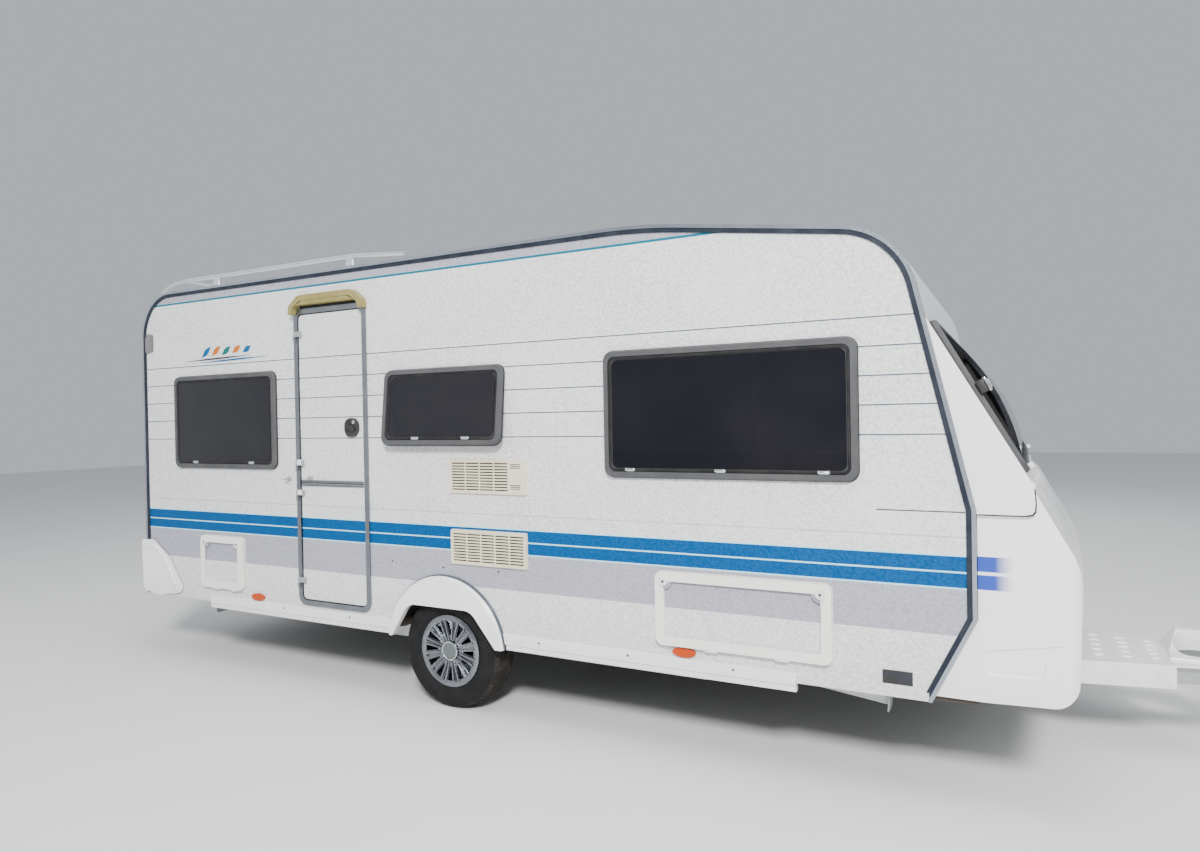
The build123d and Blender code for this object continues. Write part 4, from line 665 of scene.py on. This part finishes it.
# A flat rounded ring, drawn round the origin facing +Z, then laid on a window's plane
def ringOn(name, placement, width, height, corner, rim, thick, finish, soft=0.0015):
    deselectAll()
    bpy.ops.mesh.primitive_plane_add(size=1)
    bpy.context.active_object.scale = (width, height, 1)
    piece = started(name, finish)
    editMode()
    selectAll()
    bpy.ops.mesh.bevel(offset=corner, segments=6, affect="VERTICES")
    bpy.ops.mesh.select_mode(type="FACE")
    selectAll()
    insetBy(rim)
    bpy.ops.mesh.delete(type="FACE")
    selectAll()
    push(z=thick)
    tidyFaces()
    objectMode()
    softenEdges(piece, soft, 2)
    makeActive(piece)
    piece.matrix_world = placement
    return piece


# Box with soft edges, given by its corners
def blockBetween(name, low, high, finish, soft=0.002, segments=2):
    deselectAll()
    bpy.ops.mesh.primitive_cube_add(size=1, location=[(a + b) / 2 for a, b in zip(low, high)])
    bpy.context.active_object.scale = [b - a for a, b in zip(low, high)]
    piece = started(name, finish)
    softenEdges(piece, soft, segments)
    return piece


# Settles a piece of the right wheel and its mirror copy on the left one
def onBothWheels(piece, smooth=40, stands=None):
    settle(piece, "wheel_right_body", smooth, [stands + "_right"] if stands else ())
    twin = mirrorAcross(piece, piece.name.replace("right", "left"))
    settle(twin, "wheel_left_body", smooth, [stands + "_left"] if stands else ())


# A block on a face that looks along -Y: from and to along X, proud of the face and off it, foot and head
def onFace(name, faceY, along, depths, heights, finish, soft=0.002, segments=2):
    (start, end), (proud, gap), (foot, head) = along, depths, heights
    return blockBetween(name, (start, faceY - proud, foot), (end, faceY - gap, head), finish, soft, segments)


print("helpers ready")

# Tyres, turned from their section, with grooves round the tread and cuts across its shoulders
tyreDress = {"steps": 120, "crown": 0.315, "bulge": 0.6, "bead": [(-0.0600, 0.1765), (0.0600, 0.1765)],
             "grooves": (-0.046, -0.0155, 0.0155, 0.046), "grooveHalf": 0.0038, "grooveDeep": 0.0065,
             "cutDepth": 0.0045, "cutRim": 0.0025, "cutOut": (0.064, 0.0845), "cutRadius": 0.296,
             "cutEvery": 6, "cutWide": 3}
flank = [(0.0725, 0.179), (0.0755, 0.186), (0.0800, 0.188), (0.0835, 0.198), (0.0905, 0.214), (0.0912, 0.2165),
         (0.0938, 0.2185), (0.0960, 0.232), (0.0973, 0.245), (0.0975, 0.256), (0.0966, 0.262), (0.0972, 0.266),
         (0.0955, 0.276), (0.0925, 0.285), (0.0885, 0.2930), (0.0872, 0.2935), (0.0830, 0.3020), (0.0740, 0.3085)]
shoulder = (0.0640, 0.3125)
tread = [shoulder]
for middle in reversed(tyreDress["grooves"]):
    crown = tyreDress["crown"] - tyreDress["bulge"] * middle * middle
    half, deep = tyreDress["grooveHalf"], tyreDress["grooveDeep"]
    tread += [(middle + half, crown), (middle + half * 0.7, crown - deep), (middle - half * 0.7, crown - deep),
              (middle - half, crown)]
tread += [(-shoulder[0], shoulder[1])]
section = flank + tread + [(-out, radius) for out, radius in reversed(flank)] + tyreDress["bead"] + [flank[0]]
wheelMiddle = (axleX, wheelY, axleZ)
tyreRight = turned("tyreDress.right", section, wheelMiddle, tyreFinish, tyreDress["steps"])


def onShoulder(centre, normal):
    low, high = tyreDress["cutOut"]
    turn = math.degrees(math.atan2(centre.z - axleZ, centre.x - axleX)) % tyreDress["cutEvery"]
    radius = math.hypot(centre.x - axleX, centre.z - axleZ)
    inBand = low < abs(centre.y - wheelY) < high and radius > tyreDress["cutRadius"]
    return inBand and turn < tyreDress["cutWide"]


pick(tyreRight, "FACE", onShoulder)
bpy.ops.mesh.inset(thickness=tyreDress["cutRim"], depth=-tyreDress["cutDepth"], use_individual=False)
objectMode()
onBothWheels(tyreRight, 30, "tyre")
print("tyres turned")

# Wheel trim: painted cap in a bright ring, and a bright lip round its edge; profiles are (out, radius)
trimCap = {"faceY": -1.1210, "profile": [(0.0058, 0.0), (0.0056, 0.016), (0.0046, 0.030), (0.0026, 0.041),
                                         (0.0, 0.0445), (-0.004, 0.0445), (-0.004, 0.0)]}
capRing = {"faceY": -1.1210, "profile": [(-0.004, 0.0440), (0.0020, 0.0442), (0.0045, 0.0462), (0.0050, 0.0485),
                                         (0.0035, 0.0510), (-0.001, 0.0525), (-0.004, 0.0525), (-0.004, 0.0440)]}
trimLip = {"faceY": -1.1195, "profile": [(-0.002, 0.1890), (0.0012, 0.1895), (0.0020, 0.1915), (0.0008, 0.1945),
                                         (-0.004, 0.1950), (-0.004, 0.1890), (-0.002, 0.1890)]}
for name, ring, finish, steps in (("trimCap", trimCap, capFinish, 48), ("capRing", capRing, chromeFinish, 48),
                                  ("trimLip", trimLip, chromeFinish, 96)):
    centre = (axleX, ring["faceY"], axleZ)
    onBothWheels(turned(name + ".right", ring["profile"], centre, finish, steps))

# Two raised ribs on every spoke, one modelled and turned round the axle
spokeRib = {"inner": 0.057, "outer": 0.166, "half": 0.0034, "faceInner": 0.0835, "rise": 0.0115, "tall": 0.0048,
            "sunk": 0.004, "spread": 1.5, "spokes": 12, "angles": (9.0, 21.0)}
ribBox = blockBetween("spokeRib.pattern", (spokeRib["inner"], -spokeRib["tall"], -spokeRib["half"]),
                      (spokeRib["outer"], spokeRib["sunk"], spokeRib["half"]), trimFinish, 0.0022, 3)
pick(ribBox, "VERT", lambda place: place.x > (spokeRib["inner"] + spokeRib["outer"]) / 2)
bpy.ops.transform.translate(value=(0, -spokeRib["rise"], 0))
bpy.ops.transform.resize(value=(1, 1, spokeRib["spread"]))
objectMode()
ribs = []
for number in range(2 * spokeRib["spokes"]):
    turn = math.radians(360 / spokeRib["spokes"] * (number // 2) + spokeRib["angles"][number % 2])
    place = shifted(axleX, wheelY - spokeRib["faceInner"], axleZ) @ Matrix.Rotation(turn, 4, "Y")
    ribs.append(copied(ribBox, "spokeRib.%d" % number, place))
bpy.data.objects.remove(ribBox)
deselectAll()
for rib in ribs:
    rib.select_set(True)
bpy.context.view_layer.objects.active = ribs[0]
bpy.ops.object.join()
spokesRight = bpy.context.active_object
spokesRight.name = "spokeRibs.right"
onBothWheels(spokesRight)

# Valve stem between two spokes
valve = {"place": (ahead(118), -1.108, axleZ - 0.047), "radius": 0.0042, "length": 0.026, "tip": 0.005}
valveStem = discAt("valveStem.right", 20, valve["radius"], valve["length"], valve["place"], blackFinish)
shapeFace(valveStem, "y", -1, ("inset", 0.0012), ("push", -valve["tip"]))
softenEdges(valveStem, 0.0006, 2)
onBothWheels(valveStem, 32)
print("wheel trims dressed")

# Windows of the sides: centre x, centre z, width and height of each sash; the kitchen's leans out
windowSizes = {
    "bedroom": (ahead(-1768.5), 1.592, 0.973, 0.604), "kitchen": (ahead(17.5), 1.6445, 0.803, 0.420),
    "lounge": (ahead(1585.0), 1.585, 1.178, 0.600),
}
# Seals of each window, within the sash and round it on the wall: size over the sash, lift off the wall,
# corner, rim, thickness and softened edge
windowRings = {"paneSeal.": (-0.0600, 0.0145, 0.032, 0.013, 0.0065, 0.0025),
               "wallSeal.": (0.006, 0.0004, 0.050, 0.0075, 0.0050, 0.0015)}
kitchenLean = math.radians(6)


def wallPlacement(side, x, z, height=0.0, lean=0.0):
    # X along the wall, Y up, Z outwards; a leaning sash turns about its top edge
    outwards = Vector((0, -side * math.cos(lean), math.sin(lean)))
    upwards = Vector((0, side * math.sin(lean), math.cos(lean)))
    top = Vector((x, side * sideY, z + height / 2))
    return placed(top - upwards * height / 2, upwards.cross(outwards), upwards, outwards)


# The front window lies on the leaning wall, whose foot and head are ahead of the axle and up, in millimetres
frontRake = {"foot": (2607, 1185), "head": (2349, 2315), "windowHead": 1944, "windowFoot": (2778, 1.315),
             "width": 2.110, "play": 0.012}
rakeSlope = (frontRake["foot"][0] - frontRake["head"][0]) / (frontRake["head"][1] - frontRake["foot"][1])
frontRise = frontRake["windowHead"] - frontRake["foot"][1]
frontTop = Vector((ahead(frontRake["foot"][0] - rakeSlope * frontRise), 0, frontRake["windowHead"] / 1000))
frontFoot = Vector((ahead(frontRake["windowFoot"][0]), 0, frontRake["windowFoot"][1]))
frontUp = (frontTop - frontFoot).normalized()
frontLength = (frontTop - frontFoot).length
leftwards = Vector((0, 1, 0))
frontPlacement = placed((frontTop + frontFoot) / 2, leftwards, frontUp, leftwards.cross(frontUp))
rearWindow = {"place": (ahead(-2610), 0, 1.610), "width": 1.000, "height": 0.560}
rearPlacement = placed(rearWindow["place"], (0, -1, 0), (0, 0, 1), (-1, 0, 0))

openings = []
for side, mark in ((1, "right"), (-1, "left")):
    for name, (x, z, width, height) in windowSizes.items():
        if name == "kitchen" and side < 0:
            continue
        lean = kitchenLean if name == "kitchen" else 0.0
        openings.append((name + "." + mark, wallPlacement(side, x, z, height, lean), width, height))
openings.append(("rear", rearPlacement, rearWindow["width"], rearWindow["height"]))
openings.append(("front", frontPlacement, frontRake["width"], frontLength - frontRake["play"]))

for name, placement, width, height in openings:
    for kind, (grow, lift, corner, rim, thick, soft) in windowRings.items():
        ring = ringOn(kind + name, placement @ shifted(z=lift), width + grow, height + grow, corner, rim, thick,
                      sealAndShadowFinish, soft)
        settle(ring, "caravan", 40)
print("window seals fitted")

# Small latches at the foot of the sashes: a plate with a bent lip
latchLook = {"size": (0.052, 0.011, 0.0045), "foot": 0.004, "lip": 0.003, "rim": 0.004, "up": 0.0400,
             "lift": 0.0225}
latchPlaces = {"bedroom": (-0.27, 0.27), "kitchen": (-0.155, 0.183), "lounge": (-0.449, -0.005, 0.449)}


def sashLatch(name, placement):
    deselectAll()
    bpy.ops.mesh.primitive_cube_add(size=1)
    bpy.context.active_object.scale = latchLook["size"]
    piece = started(name, chromeFinish)
    shapeFace(piece, "y", -1, ("push", -latchLook["foot"]), ("scale", 0.7, 1, 1))
    pick(piece, "FACE", lambda centre, normal: normal.z > 0.9 and centre.y > -0.001)
    insetBy(latchLook["rim"])
    push(z=latchLook["lip"])
    bpy.ops.transform.resize(value=(0.8, 0.6, 1))
    objectMode()
    softenEdges(piece, 0.0010, 2)
    makeActive(piece)
    piece.matrix_world = placement
    return piece


for name, placement, width, height in openings:
    window = name.split(".")[0]
    for number, offset in enumerate(latchPlaces.get(window, ())):
        place = placement @ shifted(offset, -height / 2 + latchLook["up"], latchLook["lift"])
        settle(sashLatch("sashLatch.%s.%d" % (name, number + 1), place), "caravan")
print("sash latches fitted")

# Lock of the upper door leaf: bright barrel with its key slit, and a pull lever
doorLock = {"x": ahead(-651), "z": 1.540, "faceY": -1.1665, "barrel": (0.024, -0.003, 0.031), "radius": 0.0105,
            "leverLow": (-0.030, -0.0165, -0.012), "leverHigh": (0.012, -0.0135, 0.010)}


def atLock(across, out, up):
    return doorLock["x"] + across, doorLock["faceY"] + out, doorLock["z"] + up


lockBarrel = discAt("lockBarrel", 32, doorLock["radius"], 0.008, atLock(*doorLock["barrel"]), chromeFinish)
shapeFace(lockBarrel, "y", -1, ("inset", 0.0022), ("push", 0.0012), ("inset", 0.004), ("scale", 0.35, 1, 1.6),
          ("push", 0.0015))
softenEdges(lockBarrel, 0.0005, 2)
settle(lockBarrel, "door_upper_body")
leverCorners = atLock(*doorLock["leverLow"]), atLock(*doorLock["leverHigh"])
lockLever = blockBetween("lockLever", *leverCorners, blackFinish, 0.0014)
shapeFace(lockLever, "y", -1, ("inset", 0.004), ("push", -0.004), ("scale", 0.85, 1, 0.7))
settle(lockLever, "door_upper_body")
print("door lock fitted")

# White caps on the middle hinges, over their plates
hingeCaps = {"along": (ahead(-1090), ahead(-1056)), "depths": (0.004, 0.0003), "plateY": -1.1720,
             "upper": (1.318, 1.352), "lower": (1.139, 1.170)}
for which in ("upper", "lower"):
    cap = onFace("hingeCap." + which, hingeCaps["plateY"], hingeCaps["along"], hingeCaps["depths"],
                 hingeCaps[which], whiteFinish, 0.0016, 3)
    shapeFace(cap, "y", -1, ("inset", 0.006), ("push", 0.0012))
    settle(cap, "door_%s_body" % which)

# Alloy strips along the edges where the two leaves meet
leafStrips = {"along": (doorX - 0.2500, doorX + 0.2500), "depths": (0.0055, 0.0003),
              "upper": (1.2150, 1.2290), "lower": (1.1930, 1.2070)}
for which in ("upper", "lower"):
    strip = onFace("leafStrip." + which, doorY, leafStrips["along"], leafStrips["depths"], leafStrips[which],
                   frameFinish, 0.0015)
    shapeFace(strip, "y", -1, ("inset", 0.0035), ("push", 0.0012))
    settle(strip, "door_%s_body" % which)

# Catch that holds the open door: a stalk with a cross head on the wall, and its socket on the leaf
doorStay = {"wall": (ahead(-1186), 1.232), "leaf": (ahead(-1000), 1.238), "reach": 0.030,
            "half": (0.020, 0.013), "depths": (0.004, 0.0003)}


def stayPart(name, x, z, faceY, reach, body):
    wide, tall = doorStay["half"]
    piece = onFace(name, faceY, (x - wide, x + wide), doorStay["depths"], (z - tall, z + tall),
                   zincFinish, 0.0012)
    shapeFace(piece, "y", -1, ("inset", 0.008), ("push", -reach * 0.6), ("scale", 0.55, 1, 0.8),
              ("push", -reach * 0.2), ("scale", 3.2, 1, 1.25), ("push", -reach * 0.2))
    softenEdges(piece, 0.0009, 2, 50)
    settle(piece, body)


stayPart("doorStay.wall", *doorStay["wall"], sideY, doorStay["reach"], "caravan")
stayPart("doorStay.leaf", *doorStay["leaf"], doorY, doorStay["reach"] * 0.5, "door_upper_body")
print("hinge caps and door stay fitted")

# The rain hood reaches down to the door frame: its apron under the arch, and below that a dark strip of painted
# shadow under the hood
hoodApron = {"along": (doorX - 0.2340, doorX + 0.2340), "depths": (0.0455, 0.0006), "foot": 2.2722,
             "head": 2.2975, "narrow": 0.795}
apron = onFace("hoodApron", sideY, hoodApron["along"], hoodApron["depths"],
               (hoodApron["foot"], hoodApron["head"]), hoodFinish, 0.0030, 3)
pick(apron, "VERT", lambda place: place.z > hoodApron["head"] - 0.004)
bpy.ops.transform.resize(value=(hoodApron["narrow"], 1, 1))
objectMode()
settle(apron, "caravan")
# Painted shadow: a thin near-black strip on the wall stands for the shade beneath the hood
hoodShadowStrip = {"along": (doorX - 0.2360, doorX + 0.2360), "depths": (0.0100, 0.0006),
            "heights": (2.2556, hoodApron["foot"] - 0.0004)}
settle(onFace("hoodShadowStrip", sideY, *hoodShadowStrip.values(), sealAndShadowFinish, 0.0015), "caravan")
print("rain hood closed")

# Round locks of the two flaps, each a dished disc with a finger slot and a keyhole
flapLock = {"radius": 0.0200, "keyhole": 0.0062, "keyholeY": -0.0072, "faceY": -1.1803, "margin": 0.044,
            "turn": 20, "sizes": {"service": (0.803, 0.340), "toilet": (0.404, 0.337)}}
lockDisc = discAt("flapLock.pattern", 36, flapLock["radius"], 0.006, (0, -0.003, 0), whiteFinish)
shapeFace(lockDisc, "y", -1, ("inset", 0.0025), ("push", 0.002), ("inset", 0.009), ("scale", 0.45, 1, 2.2),
          ("push", -0.0028))
softenEdges(lockDisc, 0.0007, 2)
keyhole = discAt("flapKeyhole.pattern", 20, flapLock["keyhole"], 0.0016, (0, flapLock["keyholeY"], 0),
                 axleFinish)
shapeFace(keyhole, "y", -1, ("inset", 0.0016), ("push", 0.0010))
for name, (wide, tall) in flapLock["sizes"].items():
    (distance, middleZ), body = flapPlaces[name], "flap_%s_body" % name
    for end, mark in ((-1, "rear"), (1, "front")):
        place = shifted(ahead(distance) + end * (wide / 2 - flapLock["margin"]), flapLock["faceY"],
                        middleZ + tall / 2 - flapLock["margin"])
        slanted = place @ Matrix.Rotation(math.radians(flapLock["turn"] * end), 4, "Y")
        settle(copied(lockDisc, "flapLock.%s.%s" % (name, mark), slanted), body)
        settle(copied(keyhole, "flapKeyhole.%s.%s" % (name, mark), place), body)
bpy.data.objects.remove(lockDisc)
bpy.data.objects.remove(keyhole)
print("flap locks fitted")

# Screw heads along the wall, the wheel arch and the sill: ahead of the axle, up, and how far out they sit
screwLook = {"radius": 0.0052, "depth": 0.0020, "places": (
    (-371, 0.786, 0), (-8, 0.776, 0), (354, 0.778, 0), (-413, 0.449, 0.0063), (1100, 0.437, 0.0092),
    (600, 0.437, 0.0092), (1620, 0.437, 0.0092), (-700, 0.437, 0.0092), (-1250, 0.437, 0.0092))}
screwHead = discAt("screwHead.pattern", 16, screwLook["radius"], screwLook["depth"], (0, -0.0011, 0),
                   axleFinish)
shapeFace(screwHead, "y", -1, ("inset", 0.0018), ("move", -0.0009), ("inset", 0.0012), ("push", 0.0012))
for number, (distance, z, out) in enumerate(screwLook["places"]):
    screw = copied(screwHead, "screwHead.%d" % (number + 1), shifted(ahead(distance), sideY - out, z))
    settle(screw, "caravan", 40)
bpy.data.objects.remove(screwHead)
print("screws set")

# Generic decal at the rear: a row of slanting leaves over two slim ribbons (start, end, drop, finish)
decalLook = {"z": 2.040, "thick": 0.0006, "lift": 0.0003, "start": -1940, "step": 98, "leaf": (0.092, 0.036),
             "ribbon": 0.011, "leaves": (skyBlueFinish, sandFinish, oceanFinish, sandFinish, skyBlueFinish),
             "ribbons": ((-2110, -1560, 0.040, inkFinish), (-1960, -1400, 0.054, skyBlueFinish))}


def decalLeaf(name, x, z, length, width, turn, finish):
    deselectAll()
    bpy.ops.mesh.primitive_circle_add(vertices=28, radius=0.5, fill_type="NGON")
    leaf = started(name, finish)
    pick(leaf, "VERT", lambda place: abs(place.x) > 0.30)
    bpy.ops.transform.resize(value=(1.18, 0.62, 1))
    selectAll()
    bpy.ops.transform.resize(value=(length, width, 1))
    push(z=decalLook["thick"])
    tidyFaces()
    objectMode()
    makeActive(leaf)
    leaf.matrix_world = (wallPlacement(1, x, z) @ shifted(z=decalLook["lift"])
                         @ Matrix.Rotation(math.radians(turn), 4, "Z"))
    settle(leaf, "caravan")


for number, leafFinish in enumerate(decalLook["leaves"]):
    length, width = decalLook["leaf"]
    x = ahead(decalLook["start"] + decalLook["step"] * number)
    z = decalLook["z"] + 0.006 + 0.004 * (number % 2)
    decalLeaf("decalLeaf.%d" % (number + 1), x, z, length - 0.006 * number, width, 38 - 3 * number, leafFinish)
for number, (start, end, drop, ribbonFinish) in enumerate(decalLook["ribbons"]):
    decalLeaf("decalRibbon.%d" % (number + 1), ahead((start + end) / 2), decalLook["z"] - drop,
              (end - start) / 1000, decalLook["ribbon"], 1.2, ribbonFinish)

# Thin printed line towards the front of the side
sideLine = {"along": (ahead(2237), ahead(2568)), "depths": (0.0008, 0.0002), "heights": (1.17225, 1.17675)}
settle(onFace("printedLine", sideY, *sideLine.values(), inkFinish, 0.0002, 1), "caravan")
print("decals laid")

# Blank plate low at the front: dark backing with two paler blank fields (start, end, low, high)
blankPlate = {"along": (ahead(2253), ahead(2369)), "heights": (0.468, 0.524), "backing": (0.0028, 0.0003),
              "depths": (0.0036, 0.0029),
              "fields": ((0.006, 0.050, 0.030, 0.049), (0.058, 0.109, 0.008, 0.049))}
backing = onFace("blankPlate.backing", sideY, blankPlate["along"], blankPlate["backing"], blankPlate["heights"],
                 blackFinish, 0.0010)
settle(backing, "caravan")
rearX, footZ = blankPlate["along"][0], blankPlate["heights"][0]
for number, (start, end, low, high) in enumerate(blankPlate["fields"]):
    field = onFace("blankPlate.field%d" % (number + 1), sideY, (rearX + start, rearX + end),
                   blankPlate["depths"], (footZ + low, footZ + high), inkFinish, 0.0003, 1)
    settle(field, "caravan")
print("blank plate fitted")

# Stays of the front window: block on the sash's flank, bright latch and pale foot bracket, on both sides
frontStay = {"block": (0.040, 0.055, 0.030), "latch": (0.022, 0.060, 0.010), "foot": (0.034, 0.022, 0.020),
             "up": 0.020, "edge": 1.049, "latchIn": 0.004, "footEdge": 0.985, "footUp": 0.012}


def stayBlock(name, x, y, size, finish, soft):
    wide, tall, deep = size
    return blockBetween(name, (x - wide / 2, y - tall / 2, 0.0), (x + wide / 2, y + tall / 2, deep),
                        finish, soft, 3)


def onFrontWindow(piece, lift):
    piece.matrix_world = frontPlacement @ shifted(z=lift)
    settle(piece, "caravan")


for side, mark in bothSides:
    edge, up = side * frontStay["edge"], frontStay["up"]
    block = stayBlock("frontStay.block." + mark, edge, up, frontStay["block"], blackFinish, 0.005)
    onFrontWindow(block, 0.024)
    latch = stayBlock("frontStay.latch." + mark, edge - side * frontStay["latchIn"], up, frontStay["latch"],
                      chromeFinish, 0.0025)
    shapeFace(latch, "z", 1, ("inset", 0.004), ("push", 0.006), ("scale", 0.8, 0.55, 1))
    onFrontWindow(latch, 0.055)
    footMiddle = -frontLength / 2 + frontStay["footUp"] + frontStay["foot"][1] / 2
    foot = stayBlock("frontStay.foot." + mark, side * frontStay["footEdge"], footMiddle, frontStay["foot"],
                     whiteFinish, 0.003)
    onFrontWindow(foot, 0.0245)
print("front window stays fitted")

# Grey sealing bead round the foot of each cheek, over a small filler in its rounded corner
cheekFiller = {"x": (ahead(2786), ahead(2808.5)), "y": (1.1120, 1.1472), "z": (1.1706, 1.1930)}
cheekBead = {"y": 1.1480, "wide": 0.0045, "proud": 0.0030, "line": (
    (2610, 1.1690), (2700, 1.1692), (2778, 1.1700), (2798, 1.1755), (2807, 1.1880), (2809, 1.2100),
    (2808, 1.2440), (2805, 1.2740))}
for side, mark in bothSides:
    lowY, highY = sorted(side * y for y in cheekFiller["y"])
    filler = blockBetween("cheekFiller." + mark, (cheekFiller["x"][0], lowY, cheekFiller["z"][0]),
                          (cheekFiller["x"][1], highY, cheekFiller["z"][1]), mouldingFinish, 0.0020)
    settle(filler, "caravan")
    width = (cheekBead["wide"], -cheekBead["wide"])
    bead = edgeStrip("cheekBead." + mark, side, cheekBead, width, sealAndShadowFinish, 0.0010, 2)
    settle(bead, "caravan", 50)
print("cheek seams sealed")

# Raised rim along the front edge of the bumper's ends
bumperRim = {"y": 1.166, "wide": (-0.026, -0.018), "proud": 0.0095, "line": (
    (-2560, 0.752), (-2515, 0.757), (-2468, 0.737), (-2420, 0.700), (-2376, 0.652), (-2338, 0.598),
    (-2305, 0.546), (-2276, 0.500))}
for side, mark in bothSides:
    rim = edgeStrip("bumperRim." + mark, side, bumperRim, bumperRim["wide"], mouldingFinish, 0.0022, 3)
    settle(rim, "caravan", 50)
print("bumper rims laid")

# Rear lamps: dark housings with ribbed red, amber and clear lenses, in place of the plain CAD piece
rearLamp = {"x": ahead(-2663), "middleY": 0.930, "half": 0.130, "foot": 0.560, "head": 0.680,
            "housing": (0.007, 0.0318), "lens": (0.0002, 0.0085), "rim": 0.006, "margin": 0.007,
            "lenses": (("tail", 0.000, 0.088, redFinish, "lamp_red"),
                       ("turn", 0.092, 0.166, amberFinish, "lamp_amber"),
                       ("reverse", 0.170, 0.208, clearFinish, "lamp_clear"),
                       ("fog", 0.212, 0.248, redFinish, "lamp_red"))}


def lampPart(name, depths, edges, margin, finish, soft):
    (near, far), (lowY, highY) = depths, sorted(edges)
    return blockBetween(name, (rearLamp["x"] + near, lowY, rearLamp["foot"] + margin),
                        (rearLamp["x"] + far, highY, rearLamp["head"] - margin), finish, soft, 3)


for side, mark in bothSides:
    outer, inner = (side * (rearLamp["middleY"] + way * rearLamp["half"]) for way in (1, -1))
    housing = lampPart("lampHousing." + mark, rearLamp["housing"], (outer, inner), 0.0, blackFinish, 0.004)
    shapeFace(housing, "x", -1, ("inset", 0.005), ("push", 0.002))
    settle(housing, "caravan")
    for name, start, end, lensFinish, slot in rearLamp["lenses"]:
        edges = [outer - side * (rearLamp["rim"] + inward) for inward in (start, end)]
        lens = lampPart("lampLens.%s.%s" % (name, mark), rearLamp["lens"], edges, rearLamp["margin"],
                        lensFinish, 0.003)
        settle(lens, "caravan")
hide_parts("rear_lamps")
print("rear lamps built")

# Blank rear plate between the lamps, with a triangular reflector beside it on each side
rearPlate = {"x": ahead(-2651), "half": 0.260, "foot": 0.560, "head": 0.672, "depth": (0.0065, 0.0010)}
backX, faceX = (rearPlate["x"] - depth for depth in rearPlate["depth"])
rearBlank = blockBetween("rearPlate", (backX, -rearPlate["half"], rearPlate["foot"]),
                         (faceX, rearPlate["half"], rearPlate["head"]), plateFinish, 0.002, 3)
shapeFace(rearBlank, "x", -1, ("inset", 0.006), ("push", 0.0012))
settle(rearBlank, "caravan")
reflector = {"radius": 0.078, "x": rearPlate["x"] - 0.0037, "y": 0.640, "z": 0.600, "depth": 0.007}
for side, mark in bothSides:
    place = (reflector["x"], side * reflector["y"], reflector["z"])
    triangle = discAt("reflector." + mark, 3, reflector["radius"], reflector["depth"], place, redFinish,
                      (0, math.radians(-90), 0))
    softenEdges(triangle, 0.0020, 2, 80)
    shapeFace(triangle, "x", -1, ("inset", 0.009), ("push", 0.0015))
    settle(triangle, "caravan")
print("rear plate and reflectors fitted")

# Studio: pale floor, soft key from the right, gentle fill, pale world
studioLook = {"floor": 60.0, "paper": (0.72, 0.72, 0.71), "paperPale": (0.74, 0.74, 0.73),
              "sky": (0.88, 0.93, 1.0), "skyPower": 0.58, "aim": (0, 0, 1.0)}
deselectAll()
bpy.ops.mesh.primitive_plane_add(size=studioLook["floor"], location=(0, 0, 0))
studioFloor = bpy.context.active_object
studioFloor.name = "studioFloor"
paper, shader, place = newFinish("studioPaper", studioLook["paper"], 0.75)
pale = ramp(noiseOn(place, 0.8, 3), 0.3, 0.7, 0.0, 1.0)
linked(mixed(pale, studioLook["paper"], studioLook["paperPale"]), shader.inputs["Base Color"])
studioFloor.data.materials.append(paper)

world = bpy.data.worlds.new("studioWorld")
world.use_nodes = True
background = world.node_tree.nodes["Background"].inputs
background["Color"].default_value = (*studioLook["sky"], 1)
background["Strength"].default_value = studioLook["skyPower"]
bpy.context.scene.world = world

studioLights = {
    "keyLight": {"place": (4.5, -9.5, 7.5), "size": 2.0, "power": 2200},
    "fillLight": {"place": (-8.0, -7.0, 4.0), "size": 7.0, "power": 120},
    "backLight": {"place": (-2.0, 9.0, 7.5), "size": 7.0, "power": 300},
    "topLight": {"place": (1.0, -2.5, 9.5), "size": 5.0, "power": 420},
}
for name, light in studioLights.items():
    lamp = bpy.data.lights.new(name, "AREA")
    lamp.size = light["size"]
    lamp.energy = light["power"]
    holder = bpy.data.objects.new(name, lamp)
    holder.location = light["place"]
    aim = Vector(studioLook["aim"]) - Vector(light["place"])
    holder.rotation_euler = aim.to_track_quat("-Z", "Y").to_euler()
    bpy.context.scene.collection.objects.link(holder)

viewCamera = {
    "place": (2.0052, -4.5390, 1.5624), "lens": 23.852, "sensor": 36, "right": (0.882559, 0.469863, -0.017841),
    "up": (0.011739, 0.015914, 0.999804), "back": (0.470055, -0.882596, 0.008529),
}
camera = bpy.data.cameras.new("camera")
camera.lens = viewCamera["lens"]
camera.sensor_width = viewCamera["sensor"]
cameraHolder = bpy.data.objects.new("camera", camera)
cameraHolder.matrix_world = placed(*(viewCamera[key] for key in ("place", "right", "up", "back")))
bpy.context.scene.collection.objects.link(cameraHolder)
bpy.context.scene.camera = cameraHolder
print("studio and camera set")
